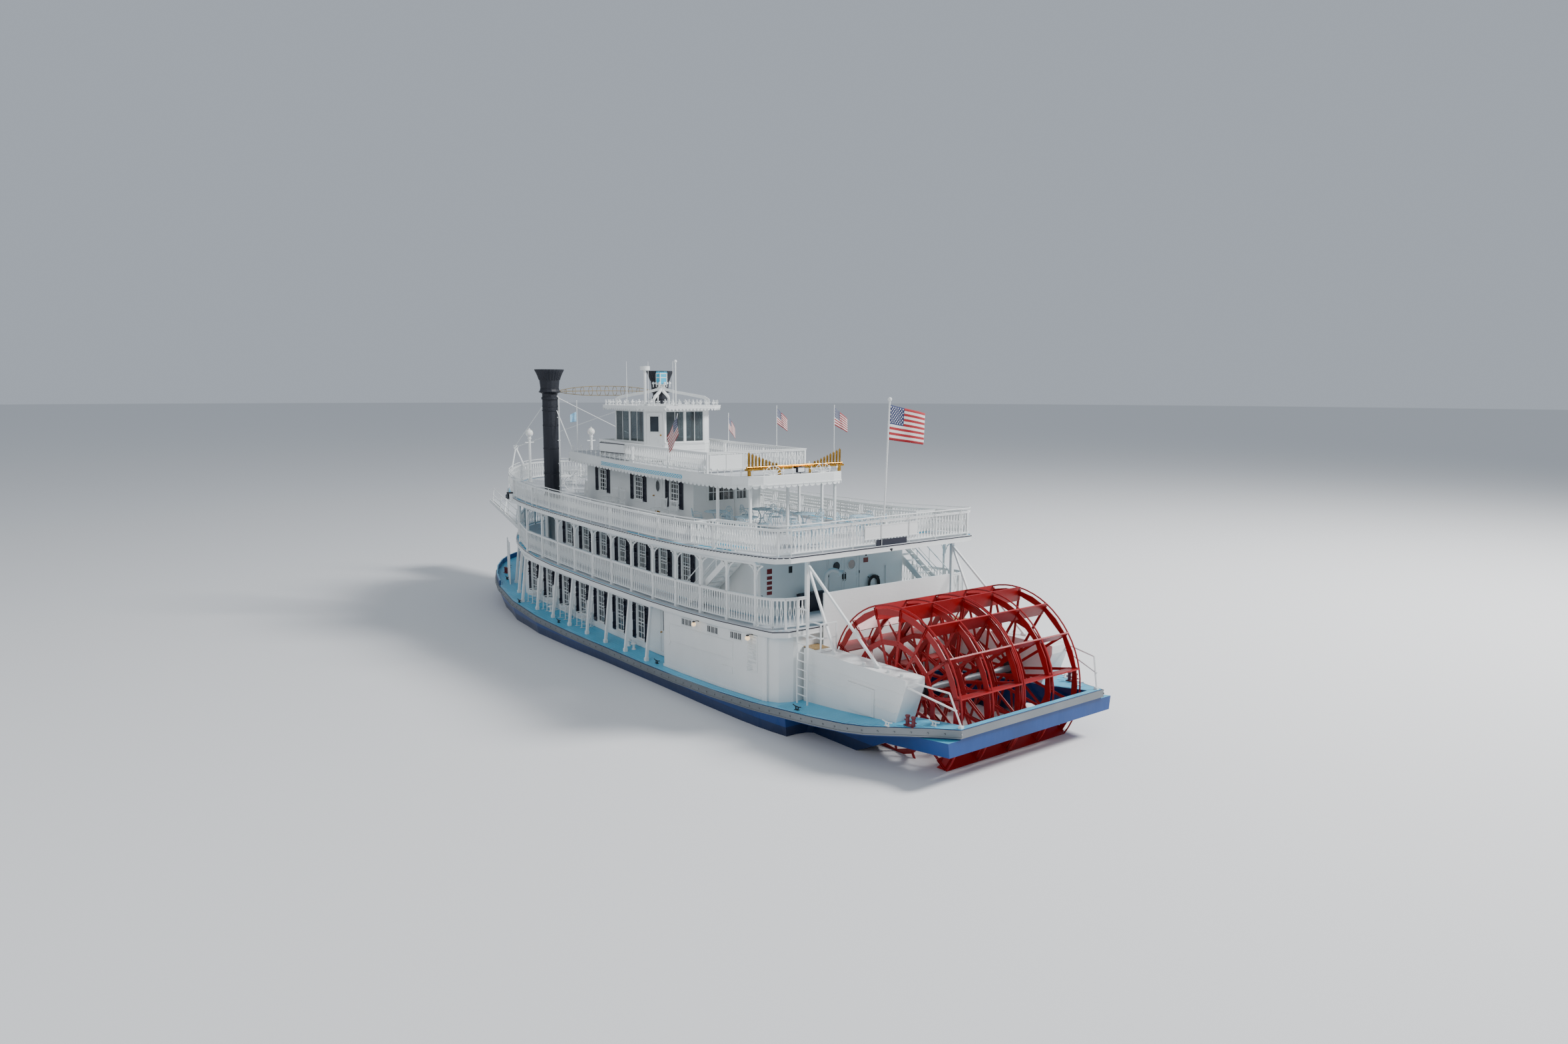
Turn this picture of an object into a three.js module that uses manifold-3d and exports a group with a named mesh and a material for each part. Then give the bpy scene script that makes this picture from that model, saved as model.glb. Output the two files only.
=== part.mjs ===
// A sternwheel paddle boat, in millimetres: +X is the bow, +Y is port, +Z is up.
// The origin is on the centreline at the waterline, amidships.
import * as THREE from "three";
import { mergeVertices } from "three/addons/utils/BufferGeometryUtils.js";
import Module from "manifold-3d";

const wasm = await Module();
wasm.setup();

// Driving sizes. A height named deck, floor or rail is above the main deck, which follows the sheer.
const SEAT = 0.3;
const ROUND = 24;
const FLAT = Math.cos(Math.PI / ROUND);
const FREEBOARD = 630;
const BAY = 1677;
const FIRST_COLUMN = 8300;
const DRAFT = 1100;
const RUB = 60;
const DECK_2 = 2400;
const DECK_3 = 4800;
const ROOF = 7170;
const PLATE = 100;
const FASCIA = 190;
const WHEEL = { x: -14950, z: 1680, radius: 2870, half: 2744, buckets: 15, shaft: 110 };
const WELL = { front: -11950, back: -18000, half: 2850 };
const STERN = -18300;
const BOX = { front: -11800, back: -16500, inner: 2950, outer: 3730, top: 2700 };
const SPLASH_TOP = 4450;
const CHIMNEY = { x: 8600, y: 3030, radius: 360, top: 11940, sides: 14 };
const BROW_DEPTH = 120;
const PILOT = { middle: 3320, length: 3920, half: 1675, chamfer: 640, eave: 10200, brow: 500 };
const STAGE = { x: 11200, z: 1580, length: 10430, half: 1200, angle: THREE.MathUtils.degToRad(16.0) };

const RUDDER = { x: -12100, y: 1400, stock: 45, blade: { low: -1100, high: -500, length: 780 },
  lugs: [[-440, -340], [420, 520]] };
const LAMPS = [{ x: 13950, y: 1800, top: 8690 }, { x: 13950, y: -1800, top: 8690 }];
const RUN = 6;
const PIN = 14.3;
// Stairs from the second deck to the third, one on each side, with the wells above them.
const STAIRS = {
  port: { foot: -5350, head: -8550, side: 1, well: [-8650, -6300] },
  starboard: { foot: -10750, head: -7350, side: -1, well: [-9600, -7250] },
};
const WELL_SIDES = [3450, 4350];
const BULWARK = { from: 11900, height: 250, thickness: 60 };
// Houses: after wall, fore wall, half-width, and window sill and lintel. Each row starts at its first window.
const HOUSE = { back: -11650, step: -4500, fore: 10560, wide: 4660, narrow: 3950, sill: 300, lintel: 1740,
  windows: { first: 8840, spacing: 1720, count: 7 } };
const SALOON = { back: -8930, fore: 8700, half: 3400, sill: 3040, lintel: 4240,
  windows: { first: 6050, spacing: 1690, count: 7 } };
const WINDOW_HALF = 275;
const TEXAS = { back: -1950, fore: 7500, half: 1700, sill: 5430, lintel: 6620, door: [450, 1250] };
// The double door's opening in the second deck's after wall.
const AFT_DOOR = [-1165, 325];
// The roof over the upper cabin: rows of x, half-width.
const ROOF_ROWS = [[-6800, 1700], [-6600, 2250], [-6050, 2600], [7600, 2600]];

// Flags by their pole's top x, y and radius and its lean aft per unit of height, the hoist's bottom and top,
// the fly's x and y, its droop, its narrowing and its wave.
const FLAGS = {
  flag_main: { pole: [-11683, 0, 30, 0.0506], hoist: [9370, 10560], fly: [-160, -1540], droop: 260, narrow: 0.92,
    wave: 60 },
  flag_1: { pole: [-1980, 2450, 16, 0.34], hoist: [9250, 9960], fly: [620, 60], droop: 800, narrow: 0.95,
    wave: 25, across: -0.2 },
  flag_2: { pole: [1550, -2450, 16, 0], hoist: [9250, 9850], fly: [80, -420], droop: 560, narrow: 0.75,
    wave: 25 },
  flag_3: { pole: [-2100, -2450, 16, 0], hoist: [9600, 10250], fly: [-60, -520], droop: 420, narrow: 0.8,
    wave: 25 },
  flag_4: { pole: [-5900, -2450, 16, 0], hoist: [9650, 10330], fly: [-80, -620], droop: 380, narrow: 0.8,
    wave: 25 },
};

const PAINT = { white: 0xe9eae6, cyan: 0x39b7d6, blue: 0x1f4fa0, grey: 0x8b9094, red: 0xb3282c };
const METAL = { black: 0x14161d, brass: 0xb58a3c, steel: 0x9a9fa3 };

// Sheer of the decks: a flat stretch amidships and a rise towards each end.
const SHEER = { aft: -3640, aftRise: 4.71e-6, fore: -4520, foreRise: 1.92e-6 };
const KNOTS = [-18300, -16000, -13500, -11000, -8300, -5800, -3640, 1000, 5000, 9000, 13000, 18000];

function curve(x) {
  const aft = Math.max(0, SHEER.aft - x);
  const fore = Math.max(0, x - SHEER.fore);
  return FREEBOARD + SHEER.aftRise * aft * aft + SHEER.foreRise * fore * fore;
}

// Height of the main deck over the waterline, straight between knots.
function sheer(x) {
  const last = KNOTS.length - 2;
  const found = KNOTS.findIndex((knot) => knot >= x) - 1;
  const i = found < -1 || x > KNOTS[last + 1] ? last : Math.max(0, found);
  const t = (x - KNOTS[i]) / (KNOTS[i + 1] - KNOTS[i]);
  return curve(KNOTS[i]) * (1 - t) + curve(KNOTS[i + 1]) * t;
}

// Half-width of the main deck at its rub rail: rows of x, half-width.
const PLAN = [
  [-18300, 3275], [-17490, 3610], [-16610, 4060], [-15660, 4590], [-14900, 4790], [-13900, 4860],
  [-12300, 4950], [-10600, 5060], [-8900, 5090], [-5200, 5110], [-3640, 5130], [-500, 5200],
  [2600, 5330], [5700, 5375], [8800, 5162], [11900, 4576], [13500, 4079], [15000, 3432],
  [16200, 2703], [17000, 2010], [17500, 1372], [17800, 737],
];
// Bottom of the hull: rows of x, height, chine half-width over deck half-width.
const BOTTOM = [
  [-18300, 900, 0.8], [-15600, 600, 0.8], [-15000, 290, 0.8], [-13900, -200, 0.85], [-13200, -480, 0.88],
  [-12300, -740, 0.92], [-10600, -980, 0.94], [-8900, -1080, 0.95], [-7000, -DRAFT, 0.96],
  [5700, -DRAFT, 0.96], [8800, -DRAFT, 0.93], [11900, -1060, 0.88], [13500, -920, 0.82],
  [15000, -640, 0.74], [16200, -150, 0.66], [17000, 320, 0.6], [17500, 740, 0.56], [17800, 1120, 0.5],
];

function between(table, x, column) {
  const i = Math.max(0, Math.min(table.length - 2, table.findIndex((row) => row[0] >= x) - 1));
  const t = (x - table[i][0]) / (table[i + 1][0] - table[i][0]);
  return table[i][column] * (1 - t) + table[i + 1][column] * t;
}

const halfWidth = (x) => between(PLAN, x, 1);

// Solid tools.
function toSolid(geometry) {
  const bare = geometry.index ? geometry.toNonIndexed() : geometry.clone();
  bare.deleteAttribute("normal");
  bare.deleteAttribute("uv");
  const merged = mergeVertices(bare, 1e-3);
  return new wasm.Manifold(new wasm.Mesh({
    numProp: 3,
    vertProperties: merged.attributes.position.array,
    triVerts: new Uint32Array(merged.index.array),
  }));
}

function toGeometry(solid) {
  const mesh = solid.getMesh();
  const geometry = new THREE.BufferGeometry();
  geometry.setAttribute("position", new THREE.BufferAttribute(new Float32Array(mesh.vertProperties), 3));
  geometry.setIndex(new THREE.BufferAttribute(new Uint32Array(mesh.triVerts), 1));
  return geometry;
}

function join(pieces) {
  return toGeometry(pieces.map(toSolid).reduce((a, b) => a.add(b)));
}

function cut(piece, tools) {
  return toGeometry(tools.map(toSolid).reduce((a, b) => a.subtract(b), toSolid(piece)));
}

// The same piece on the other side of the centreline.
function mirrored(geometry) {
  const twin = geometry.index ? geometry.toNonIndexed() : geometry.clone();
  const p = twin.attributes.position;
  const flipped = new Float32Array(p.count * 3);
  for (let i = 0; i < p.count; i += 1) {
    const from = i - (i % 3) + [0, 2, 1][i % 3];
    flipped[3 * i] = p.getX(from);
    flipped[3 * i + 1] = -p.getY(from);
    flipped[3 * i + 2] = p.getZ(from);
  }
  return new THREE.BufferGeometry().setAttribute("position", new THREE.BufferAttribute(flipped, 3));
}

const both = (geometry) => [geometry, mirrored(geometry)];

function box([x0, x1], [y0, y1], [z0, z1]) {
  const geometry = new THREE.BoxGeometry(x1 - x0, y1 - y0, z1 - z0);
  return geometry.translate((x0 + x1) / 2, (y0 + y1) / 2, (z0 + z1) / 2);
}

// Turns a piece built along X about its middle to run from p to q.
function aim(geometry, p, q) {
  const a = new THREE.Vector3(...p);
  const b = new THREE.Vector3(...q);
  const along = b.clone().sub(a).normalize();
  const upright = Math.abs(along.z) > 0.999 ? new THREE.Vector3(1, 0, 0) : new THREE.Vector3(0, 0, 1);
  const side = upright.clone().cross(along).normalize();
  const top = along.clone().cross(side);
  const turn = new THREE.Matrix4().makeBasis(along, side, top);
  return geometry.applyMatrix4(turn).translate((a.x + b.x) / 2, (a.y + b.y) / 2, (a.z + b.z) / 2);
}

const distance = (p, q) => Math.hypot(q[0] - p[0], q[1] - p[1], q[2] - p[2]);

function bar(p, q, width, depth) {
  return aim(new THREE.BoxGeometry(distance(p, q), width, depth), p, q);
}

function rod(p, q, radius, sides = 8) {
  const geometry = new THREE.CylinderGeometry(radius, radius, distance(p, q), sides);
  return aim(geometry.rotateZ(Math.PI / 2), p, q);
}

// A body turned about an upright axis, from rows of radius, height.
function turned(profile, [x, y], sides = 16) {
  const points = profile.map(([r, z]) => new THREE.Vector2(r, z));
  const geometry = new THREE.LatheGeometry(points, sides).rotateX(Math.PI / 2);
  return geometry.translate(x, y, 0);
}

// An outline in plan, from rows of x, y, raised from z0 to z1, with holes cut through.
function slab(outline, [z0, z1], holes = []) {
  const shape = new THREE.Shape(outline.map(([x, y]) => new THREE.Vector2(x, y)));
  holes.forEach((hole) => shape.holes.push(new THREE.Path(hole.map(([x, y]) => new THREE.Vector2(x, y)))));
  const geometry = new THREE.ExtrudeGeometry(shape, { depth: z1 - z0, bevelEnabled: false });
  return geometry.translate(0, 0, z0);
}

// An outline in side view, from rows of x, z, from y0 to y1.
function cheek(outline, [y0, y1]) {
  const shape = new THREE.Shape(outline.map(([x, z]) => new THREE.Vector2(x, z)));
  const geometry = new THREE.ExtrudeGeometry(shape, { depth: y1 - y0, bevelEnabled: false });
  return geometry.rotateX(Math.PI / 2).translate(0, y1, 0);
}

// Rings of equal length, each a list of points, skinned one after another and capped.
function loft(rings) {
  const size = rings[0].length;
  const vertices = rings.flat(2);
  const faces = [];
  for (let r = 0; r + 1 < rings.length; r += 1) {
    for (let i = 0; i < size; i += 1) {
      const j = (i + 1) % size;
      faces.push(r * size + i, r * size + j, (r + 1) * size + i);
      faces.push(r * size + j, (r + 1) * size + j, (r + 1) * size + i);
    }
  }
  const last = (rings.length - 1) * size;
  const cap = THREE.ShapeUtils.triangulateShape(rings[0].map((p) => new THREE.Vector2(p[1], p[2])), []);
  const end = THREE.ShapeUtils.triangulateShape(rings.at(-1).map((p) => new THREE.Vector2(p[1], p[2])), []);
  cap.forEach(([a, b, c]) => faces.push(a, c, b));
  end.forEach(([a, b, c]) => faces.push(last + a, last + b, last + c));
  const geometry = new THREE.BufferGeometry();
  geometry.setAttribute("position", new THREE.Float32BufferAttribute(vertices, 3));
  geometry.setIndex(faces);
  return geometry;
}

// Cuts every triangle at the sheer's knots, so that a long piece bends there.
function splitAtKnots(geometry) {
  const flat = geometry.index ? geometry.toNonIndexed() : geometry;
  const p = flat.attributes.position;
  let triangles = [];
  for (let i = 0; i < p.count; i += 3) {
    triangles.push([0, 1, 2].map((k) => [p.getX(i + k), p.getY(i + k), p.getZ(i + k)]));
  }
  for (const knot of KNOTS) {
    triangles = triangles.flatMap((triangle) => splitTriangle(triangle, knot));
  }
  const split = new THREE.BufferGeometry();
  return split.setAttribute("position", new THREE.Float32BufferAttribute(triangles.flat(2), 3));
}

const ON_KNOT = 0.02;

function crossing(a, b, knot) {
  const [p, q] = a[0] < b[0] ? [a, b] : [b, a];
  const t = (knot - p[0]) / (q[0] - p[0]);
  return [knot, p[1] + (q[1] - p[1]) * t, p[2] + (q[2] - p[2]) * t];
}

function splitTriangle(triangle, knot) {
  const side = triangle.map(([x]) => (Math.abs(x - knot) < ON_KNOT ? 0 : Math.sign(x - knot)));
  if (!side.includes(1) || !side.includes(-1)) return [triangle];
  const parts = { below: [], above: [] };
  for (let i = 0; i < 3; i += 1) {
    const j = (i + 1) % 3;
    if (side[i] <= 0) parts.below.push(triangle[i]);
    if (side[i] >= 0) parts.above.push(triangle[i]);
    if (side[i] * side[j] < 0) {
      const middle = crossing(triangle[i], triangle[j], knot);
      parts.below.push(middle);
      parts.above.push(middle);
    }
  }
  return [parts.below, parts.above].flatMap((ring) =>
    ring.slice(2).map((point, i) => [ring[0], ring[i + 1], point]));
}

// Lifts a flat-built piece onto the sheer. Points above level stay level, by the sheer at x.
function lifted(geometry, { level = Infinity, x = 0 } = {}) {
  const bent = splitAtKnots(geometry);
  const p = bent.attributes.position;
  for (let i = 0; i < p.count; i += 1) {
    const z = p.getZ(i);
    p.setZ(i, z + sheer(z > level ? x : p.getX(i)));
  }
  return bent;
}

// Joins pieces after each is lifted onto the sheer.
function joinLifted(pieces, how) {
  return join(pieces.map((piece) => lifted(piece, how)));
}

// Materials and the scene graph.
const boat = new THREE.Group();
boat.name = "paddle_boat";

function add(name, geometry, color, { roughness = 0.5, metalness = 0, parent = boat } = {}) {
  const bare = geometry.clone();
  bare.deleteAttribute("uv");
  bare.computeVertexNormals();
  const mesh = new THREE.Mesh(bare, new THREE.MeshStandardMaterial({ color, roughness, metalness }));
  mesh.name = name;
  parent.add(mesh);
  return mesh;
}

// Hull: solid, decked, with a well for the wheel and guards that carry the fantail.
function hull() {
  const inner = WELL.half + 900;
  const stations = [...new Set([...KNOTS, ...PLAN.map(([x]) => x), ...BOTTOM.map(([x]) => x), WELL.front])];
  const ends = [STERN + RUB, ...stations.filter((x) => x > STERN + RUB && x <= 17800)];
  const rings = ends.sort((a, b) => a - b).map((x) => {
    const edge = halfWidth(x) - RUB - SEAT;
    const deck = sheer(x);
    const guard = deck - 300;
    const keel = between(BOTTOM, x, 1);
    const chine = edge * between(BOTTOM, x, 2);
    const stern = x < WELL.front;
    const side = stern ? [inner, guard - 2] : [chine, Math.min(keel + 450, guard - 40)];
    const floor = stern ? [inner - 60, Math.min(keel, guard - 20)] : [chine * 0.9, Math.min(keel, guard - 60)];
    const half = [[edge, deck], [edge, guard], side, floor];
    const port = half.map(([y, z]) => [x, y, z]);
    const starboard = half.map(([y, z]) => [x, -y, z]).reverse();
    return [...port, ...starboard].reverse();
  });
  const well = box([WELL.back, WELL.front], [-WELL.half, WELL.half], [-3000, 4000]);
  const lugs = RUDDER.lugs.flatMap(([z0, z1]) => both(box([RUDDER.x - 90, WELL.front + 40],
    [RUDDER.y - 90, RUDDER.y + 90], [z0, z1])));
  const bores = both(rod([RUDDER.x, RUDDER.y, -2000], [RUDDER.x, RUDDER.y, 2000], RUDDER.stock + 5, 12));
  return cut(join([cut(loft(rings), [well]), ...lugs, ...both(bulwark()), bowBulwark()]), bores);
}

// Low bulwark round the bow: a strip along each side and one across the stem.
function bulwark() {
  const { from, height, thickness } = BULWARK;
  const stations = [from, ...PLAN.map(([x]) => x).filter((x) => x > from)];
  return loft(stations.map((x) => {
    const ahead = Math.min(x + 10, stations.at(-1));
    const slope = (halfWidth(ahead) - halfWidth(x - 10)) / (ahead - x + 10);
    const outer = halfWidth(x) - RUB - SEAT - 2;
    const inner = outer - thickness * Math.hypot(1, slope);
    const [low, high] = [sheer(x) - 20, sheer(x) + height];
    return [[x, inner, low], [x, outer, low], [x, outer, high], [x, inner, high]];
  }));
}

function bowBulwark() {
  const tip = 17800;
  const half = halfWidth(tip) - RUB - 4;
  return box([tip - BULWARK.thickness, tip], [-half, half], [sheer(tip) - 20, sheer(tip) + BULWARK.height]);
}

// Rudder: a flat blade on a stock that hangs by its collar from the upper lug on the transom.
function rudder() {
  const { x, y, stock, blade, lugs } = RUDDER;
  const collar = lugs[1][1] + SEAT;
  return join([
    rod([x, y, blade.low], [x, y, collar + 60], stock, 12),
    rod([x, y, collar], [x, y, collar + 60], stock + 40, 12),
    box([x - blade.length, x + 60], [y - 25, y + 25], [blade.low, blade.high]),
  ]);
}

function engine() {
  return lifted(box([-10200, -8200], [-800, 800], [SEAT, 1300]));
}

// Stair from the second deck to the third: two strings and their treads.
function stair({ foot, head, side, well }) {
  const y = [3560, 4260];
  const steps = 11;
  const [low, high] = [DECK_2, DECK_3 - 40];
  const run = (head - foot) / steps;
  const rise = (high - low) / steps;
  const pieces = y.map((string) => bar([foot - 2 * run, string, low - 2 * rise],
    [head + 2 * run, string, high + 2 * rise], 50, 220));
  for (let i = 1; i < steps; i += 1) {
    const x = foot + run * i;
    const z = low + rise * i;
    pieces.push(box([x - 120, x + 120], y, [z - 20, z + 20]));
  }
  const reach = [-14000, 0];
  const sides = [3000, 5000];
  const past = head < foot ? [reach[0], well[0] + SEAT] : [well[1] - SEAT, reach[1]];
  const cuts = [box(reach, sides, [0, DECK_2 + SEAT]), box(reach, sides, [DECK_3 + 40, 9000]),
    box(past, sides, [0, 9000])];
  const built = lifted(cut(join(pieces), cuts));
  return side > 0 ? built : mirrored(built);
}

// Boarding ladder at the quarter, and the small railed stand on the timber box that holds it.
function ladder() {
  const y = 4070;
  const rails = [-11870, -12400];
  const pieces = rails.map((x) => lifted(box([x - 22, x + 22], [y - 22, y + 22], [SEAT, 3200]), { level: 10, x }));
  for (let i = 1; i < 9; i += 1) {
    const z = sheer(rails[1]) + 280 * i;
    pieces.push(box([rails[1], rails[0]], [y - 15, y + 15], [z - 15, z + 15]));
  }
  const top = sheer(rails[0]) + 3150;
  pieces.push(box([rails[1], rails[0]], [y - 18, y + 18], [top - 18, top + 18]));
  const floor = BOX.top + SEAT;
  const edge = BOX.outer - 30;
  const stand = [BOX.front - 800, BOX.front - 40];
  pieces.push(box(stand, [BOX.inner + 60, edge], [floor, floor + 40]));
  const posts = [[stand[0] + 20, edge - 20], [stand[1] - 20, edge - 20], [stand[0] + 20, BOX.inner + 80]];
  posts.forEach(([px, py]) => pieces.push(box([px - 20, px + 20], [py - 20, py + 20], [floor, floor + 960])));
  [470, 940].forEach((z) => {
    pieces.push(box([stand[0], stand[0] + 40], [BOX.inner + 60, edge], [floor + z - 20, floor + z + 20]));
    pieces.push(box(stand, [edge - 40, edge], [floor + z - 20, floor + z + 20]));
  });
  rails.forEach((x) => pieces.push(box([x - 15, x + 15], [edge - 20, y], [floor + 455, floor + 485])));
  return join(pieces);
}

// Pipe gate at the fantail's corner: it leaves the timber box's end and slopes down to the deck.
function fantailRail() {
  const from = BOX.back - SEAT;
  const foot = [-18130, 3130];
  const deck = sheer(foot[0]);
  const rim = [[from, 3640, 2560], [-16800, 3590, 2680], [-17850, 3330, 2610], [...foot, deck + 60]];
  const middle = [[from, 3640, 2500], [-18050, 3230, 2120]];
  const pipe = (p, q) => bar(p, q, 42, 42);
  const pieces = rim.slice(1).map((point, i) => pipe(rim[i], point));
  pieces.push(pipe(...middle));
  pieces.push(lifted(box([foot[0] - 60, foot[0] + 60], [foot[1] - 60, foot[1] + 60], [SEAT, 70])));
  return cut(join(pieces), [box([from, from + 500], [3000, 4000], [2000, 3000])]);
}

function flagpole() {
  const foot = -11440;
  const flange = lifted(box([foot - 70, foot + 70], [-70, 70], [DECK_3 + SEAT, DECK_3 + 50]));
  return join([
    flange,
    rod([foot, 0, sheer(foot) + DECK_3 + 30], [-11690, 0, 10690], 30, 16),
    new THREE.SphereGeometry(75, 10, 6).translate(-11690, 0, 10740),
  ]);
}

function lampPost({ x, y, top }) {
  const base = DECK_3 + SEAT;
  const ball = top - sheer(x);
  const post = turned([[0, base], [110, base], [110, base + 300], [50, base + 400], [40, ball - 200],
    [90, ball - 190], [0, ball - 100]], [x, y], 8);
  const globe = new THREE.SphereGeometry(200, 10, 6).translate(x, y, ball);
  return lifted(join([post, globe]), { level: base + 10, x });
}

// Steam calliope: two rows of pipes, tallest at the sides, on a low stand along the roof's after edge.
function calliope() {
  const x = -6520;
  const top = ROOF + SEAT;
  const pieces = [box([x - 120, x + 120], [-2350, 2280], [top + 230, top + 300])];
  for (const y of [-2200, -750, 750, 2150]) {
    pieces.push(box([x - 60, x + 60], [y - 40, y + 40], [top, top + 240]));
  }
  for (let i = 0; i < 9; i += 1) {
    const y = 900 + i * 158;
    const pipe = top + 420 + i * 58;
    pieces.push(rod([x, y, top + 280], [x, y, pipe], 36, 6));
    pieces.push(rod([x, -y - 60, top + 280], [x, -y - 60, pipe], 36, 6));
  }
  return joinLifted(pieces);
}

// Mast and radar post stand on the pilothouse roof.
function mast() {
  const [x, y] = [1130, 600];
  const foot = PILOT.eave + BROW_DEPTH + SEAT;
  return join([
    rod([x, y, foot], [x, y, 12200], 32, 8),
    new THREE.SphereGeometry(70, 8, 5).translate(x, y, 12230),
    box([x - 90, x + 90], [y - 90, y + 90], [foot, foot + 30]),
  ]);
}

function radarPost() {
  const [x, y] = [2020, 1600];
  const foot = PILOT.eave + BROW_DEPTH + SEAT;
  return join([
    rod([x, y, foot], [x, y, 11900], 60, 8),
    rod([x, y, 11850], [x, y, 12020], 215, 16),
    box([x - 110, x + 110], [y - 110, y + 110], [foot, foot + 30]),
  ]);
}

// The guys that hold the A-frame's head, from each chimney's collar.
function guy() {
  const ring = [[361, 10520], [400, 10520], [400, 10640], [361, 10640], [361, 10520]];
  const band = turned(ring, [CHIMNEY.x, CHIMNEY.y], CHIMNEY.sides);
  return join([band, rod([CHIMNEY.x + 370, CHIMNEY.y - 95, 10590], [19990, 90, 7650], 20, 6)]);
}

// An outline round both sides from rows of x, half-width, the bow last.
function outlineOf(rows) {
  return [...rows.map(([x, y]) => [x, -y]), ...rows.map(([x, y]) => [x, y]).reverse()];
}

function rubRail() {
  const nose = 17800 + SEAT;
  const stern = STERN + RUB - SEAT;
  const outer = [...PLAN, [17920, 300]];
  const rows = PLAN.slice(1, -1).map(([x, y]) => [x, y - RUB]);
  const inner = [[stern, halfWidth(stern) - RUB], ...rows, [nose, 677], [nose, 300]];
  return strip(outlineOf(outer), outlineOf(inner), [-250, -20]);
}

// Half-widths of an upper deck with a round bow: x from back to tip.
function deckRows({ back, half, centre, reach, beam, steps = 9 }) {
  const bow = [];
  for (let i = 0; i < steps; i += 1) {
    const a = (i / steps) * (Math.PI / 2);
    bow.push([centre + reach * Math.sin(a), beam * Math.cos(a)]);
  }
  bow.push([centre + reach * 0.996, beam * 0.09]);
  return [[back, half - 350], [back + 350, half], ...bow];
}

const PLAN_2 = deckRows({ back: -11750, half: 4700, centre: 5200, reach: 10000, beam: 4760 });
const PLAN_3 = deckRows({ back: -11690, half: 4560, centre: 7150, reach: 8160, beam: 4800 });

const inset = (rows, by) => rows.map(([x, y], i) => [i === 0 ? x + by : x - (i > rows.length - 3 ? by : 0),
  Math.max(y - by, 60)]);

// A deck plate from rows of x, half-width, with upright holes.
function upperDeck(rows, [low, top], holes = []) {
  const [first, last] = [rows[0][0], rows.at(-1)[0]];
  const inside = KNOTS.filter((x) => x > first && x < last);
  const stations = [...new Set([...rows.map(([x]) => x), ...inside])].sort((a, b) => a - b);
  const rings = stations.map((x) => {
    const y = between(rows, x, 1);
    const z = sheer(x);
    return [[x, -y, z + low], [x, y, z + low], [x, y, z + top], [x, -y, z + top]];
  });
  return cut(loft(rings), holes.map(([[x0, x1], [y0, y1]]) => box([x0, x1], [y0, y1], [-3000, 20000])));
}

// An outline with a point added wherever it crosses a knot of the sheer.
function withKnots(outline, closed) {
  const count = closed ? outline.length : outline.length - 1;
  const points = [];
  for (let i = 0; i < count; i += 1) {
    const [p, q] = [outline[i], outline[(i + 1) % outline.length]];
    const inside = KNOTS.filter((x) => (x - p[0]) * (x - q[0]) < 0 && Math.abs(x - p[0]) > 60 &&
      Math.abs(x - q[0]) > 60);
    inside.sort((a, b) => Math.abs(a - p[0]) - Math.abs(b - p[0]));
    points.push(p, ...inside.map((x) => [x, p[1] + ((q[1] - p[1]) * (x - p[0])) / (q[0] - p[0])]));
  }
  return closed ? points : [...points, outline.at(-1)];
}

// A closed strip between two outlines of as many points, from z0 to z1 above the main deck.
function strip(outer, inner, [z0, z1]) {
  const at = ([x, y], z) => [x, y, z + sheer(x)];
  const corners = (i) => [at(outer[i], z0), at(outer[i], z1), at(inner[i], z1), at(inner[i], z0)];
  const vertices = outer.flatMap((_, i) => corners(i));
  const faces = [];
  for (let i = 0; i < outer.length; i += 1) {
    const j = (i + 1) % outer.length;
    for (let k = 0; k < 4; k += 1) {
      const m = (k + 1) % 4;
      faces.push(4 * i + k, 4 * j + k, 4 * j + m, 4 * i + k, 4 * j + m, 4 * i + m);
    }
  }
  const geometry = new THREE.BufferGeometry();
  geometry.setAttribute("position", new THREE.Float32BufferAttribute(vertices.flat(), 3));
  geometry.setIndex(faces);
  return geometry;
}

// A strip that follows a closed outline, from its outer to its inner offset.
function hoop(outline, [outer, inner], heights) {
  const path = withKnots(outline, true);
  return strip(outer ? shrunk(path, outer) : path, shrunk(path, inner), heights);
}

// A square post whose head stands inboard of its foot: x, y of the foot, y of the head.
function post([x, low, high], [z0, z1], size) {
  const upright = box([x - size / 2, x + size / 2], [low - size / 2, low + size / 2], [z0, z1]);
  const p = upright.attributes.position;
  for (let i = 0; i < p.count; i += 1) {
    if (p.getZ(i) > (z0 + z1) / 2) p.setY(i, p.getY(i) + high - low);
  }
  return upright;
}

// Columns of one side with the beam along their heads. On the second deck a handrail runs between them, round
// the after corner to the brace post and round the bow to the centreline.
function colonnade({ count, foot, head, floor, top, bow, rail, corner = [], stem = [] }) {
  const aft = Array.from({ length: count }, (_, i) => [FIRST_COLUMN - BAY * (count - 1 - i), foot, head]);
  const stations = [...aft, ...bow.map((x) => {
    const y = Math.min(between(PLAN_3, x, 1) - 330, between(PLAN_2, x, 1) - 120);
    return [x, y + foot - head, y];
  })];
  const pieces = stations.map((row) => post(row, [floor + SEAT, top - 60], 100));
  stations.slice(1).forEach(([x, , y], i) => {
    const [x0, , y0] = stations[i];
    pieces.push(bar([x0, y0, top - 65 - SEAT / 2], [x, y, top - 65 - SEAT / 2], 120, 129));
  });
  const line = [...corner, ...stations.map(([x, , y]) => [x, y]), ...stem];
  line.slice(1).forEach(([x, y], i) => {
    const [x0, y0] = line[i];
    if (rail) pieces.push(bar([x0, y0, floor + rail], [x, y, floor + rail], 70, 60));
  });
  [...corner.slice(1), ...stem.slice(0, -1)].forEach(([x, y]) => {
    pieces.push(box([x - 35, x + 35], [y - 35, y + 35], [floor + SEAT, floor + rail]));
  });
  const ends = box([-20000, 20000], [-500, SEAT / 2], [-2000, 12000]);
  return cut(joinLifted(pieces), stem.length > 0 ? [ends] : []);
}

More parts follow.
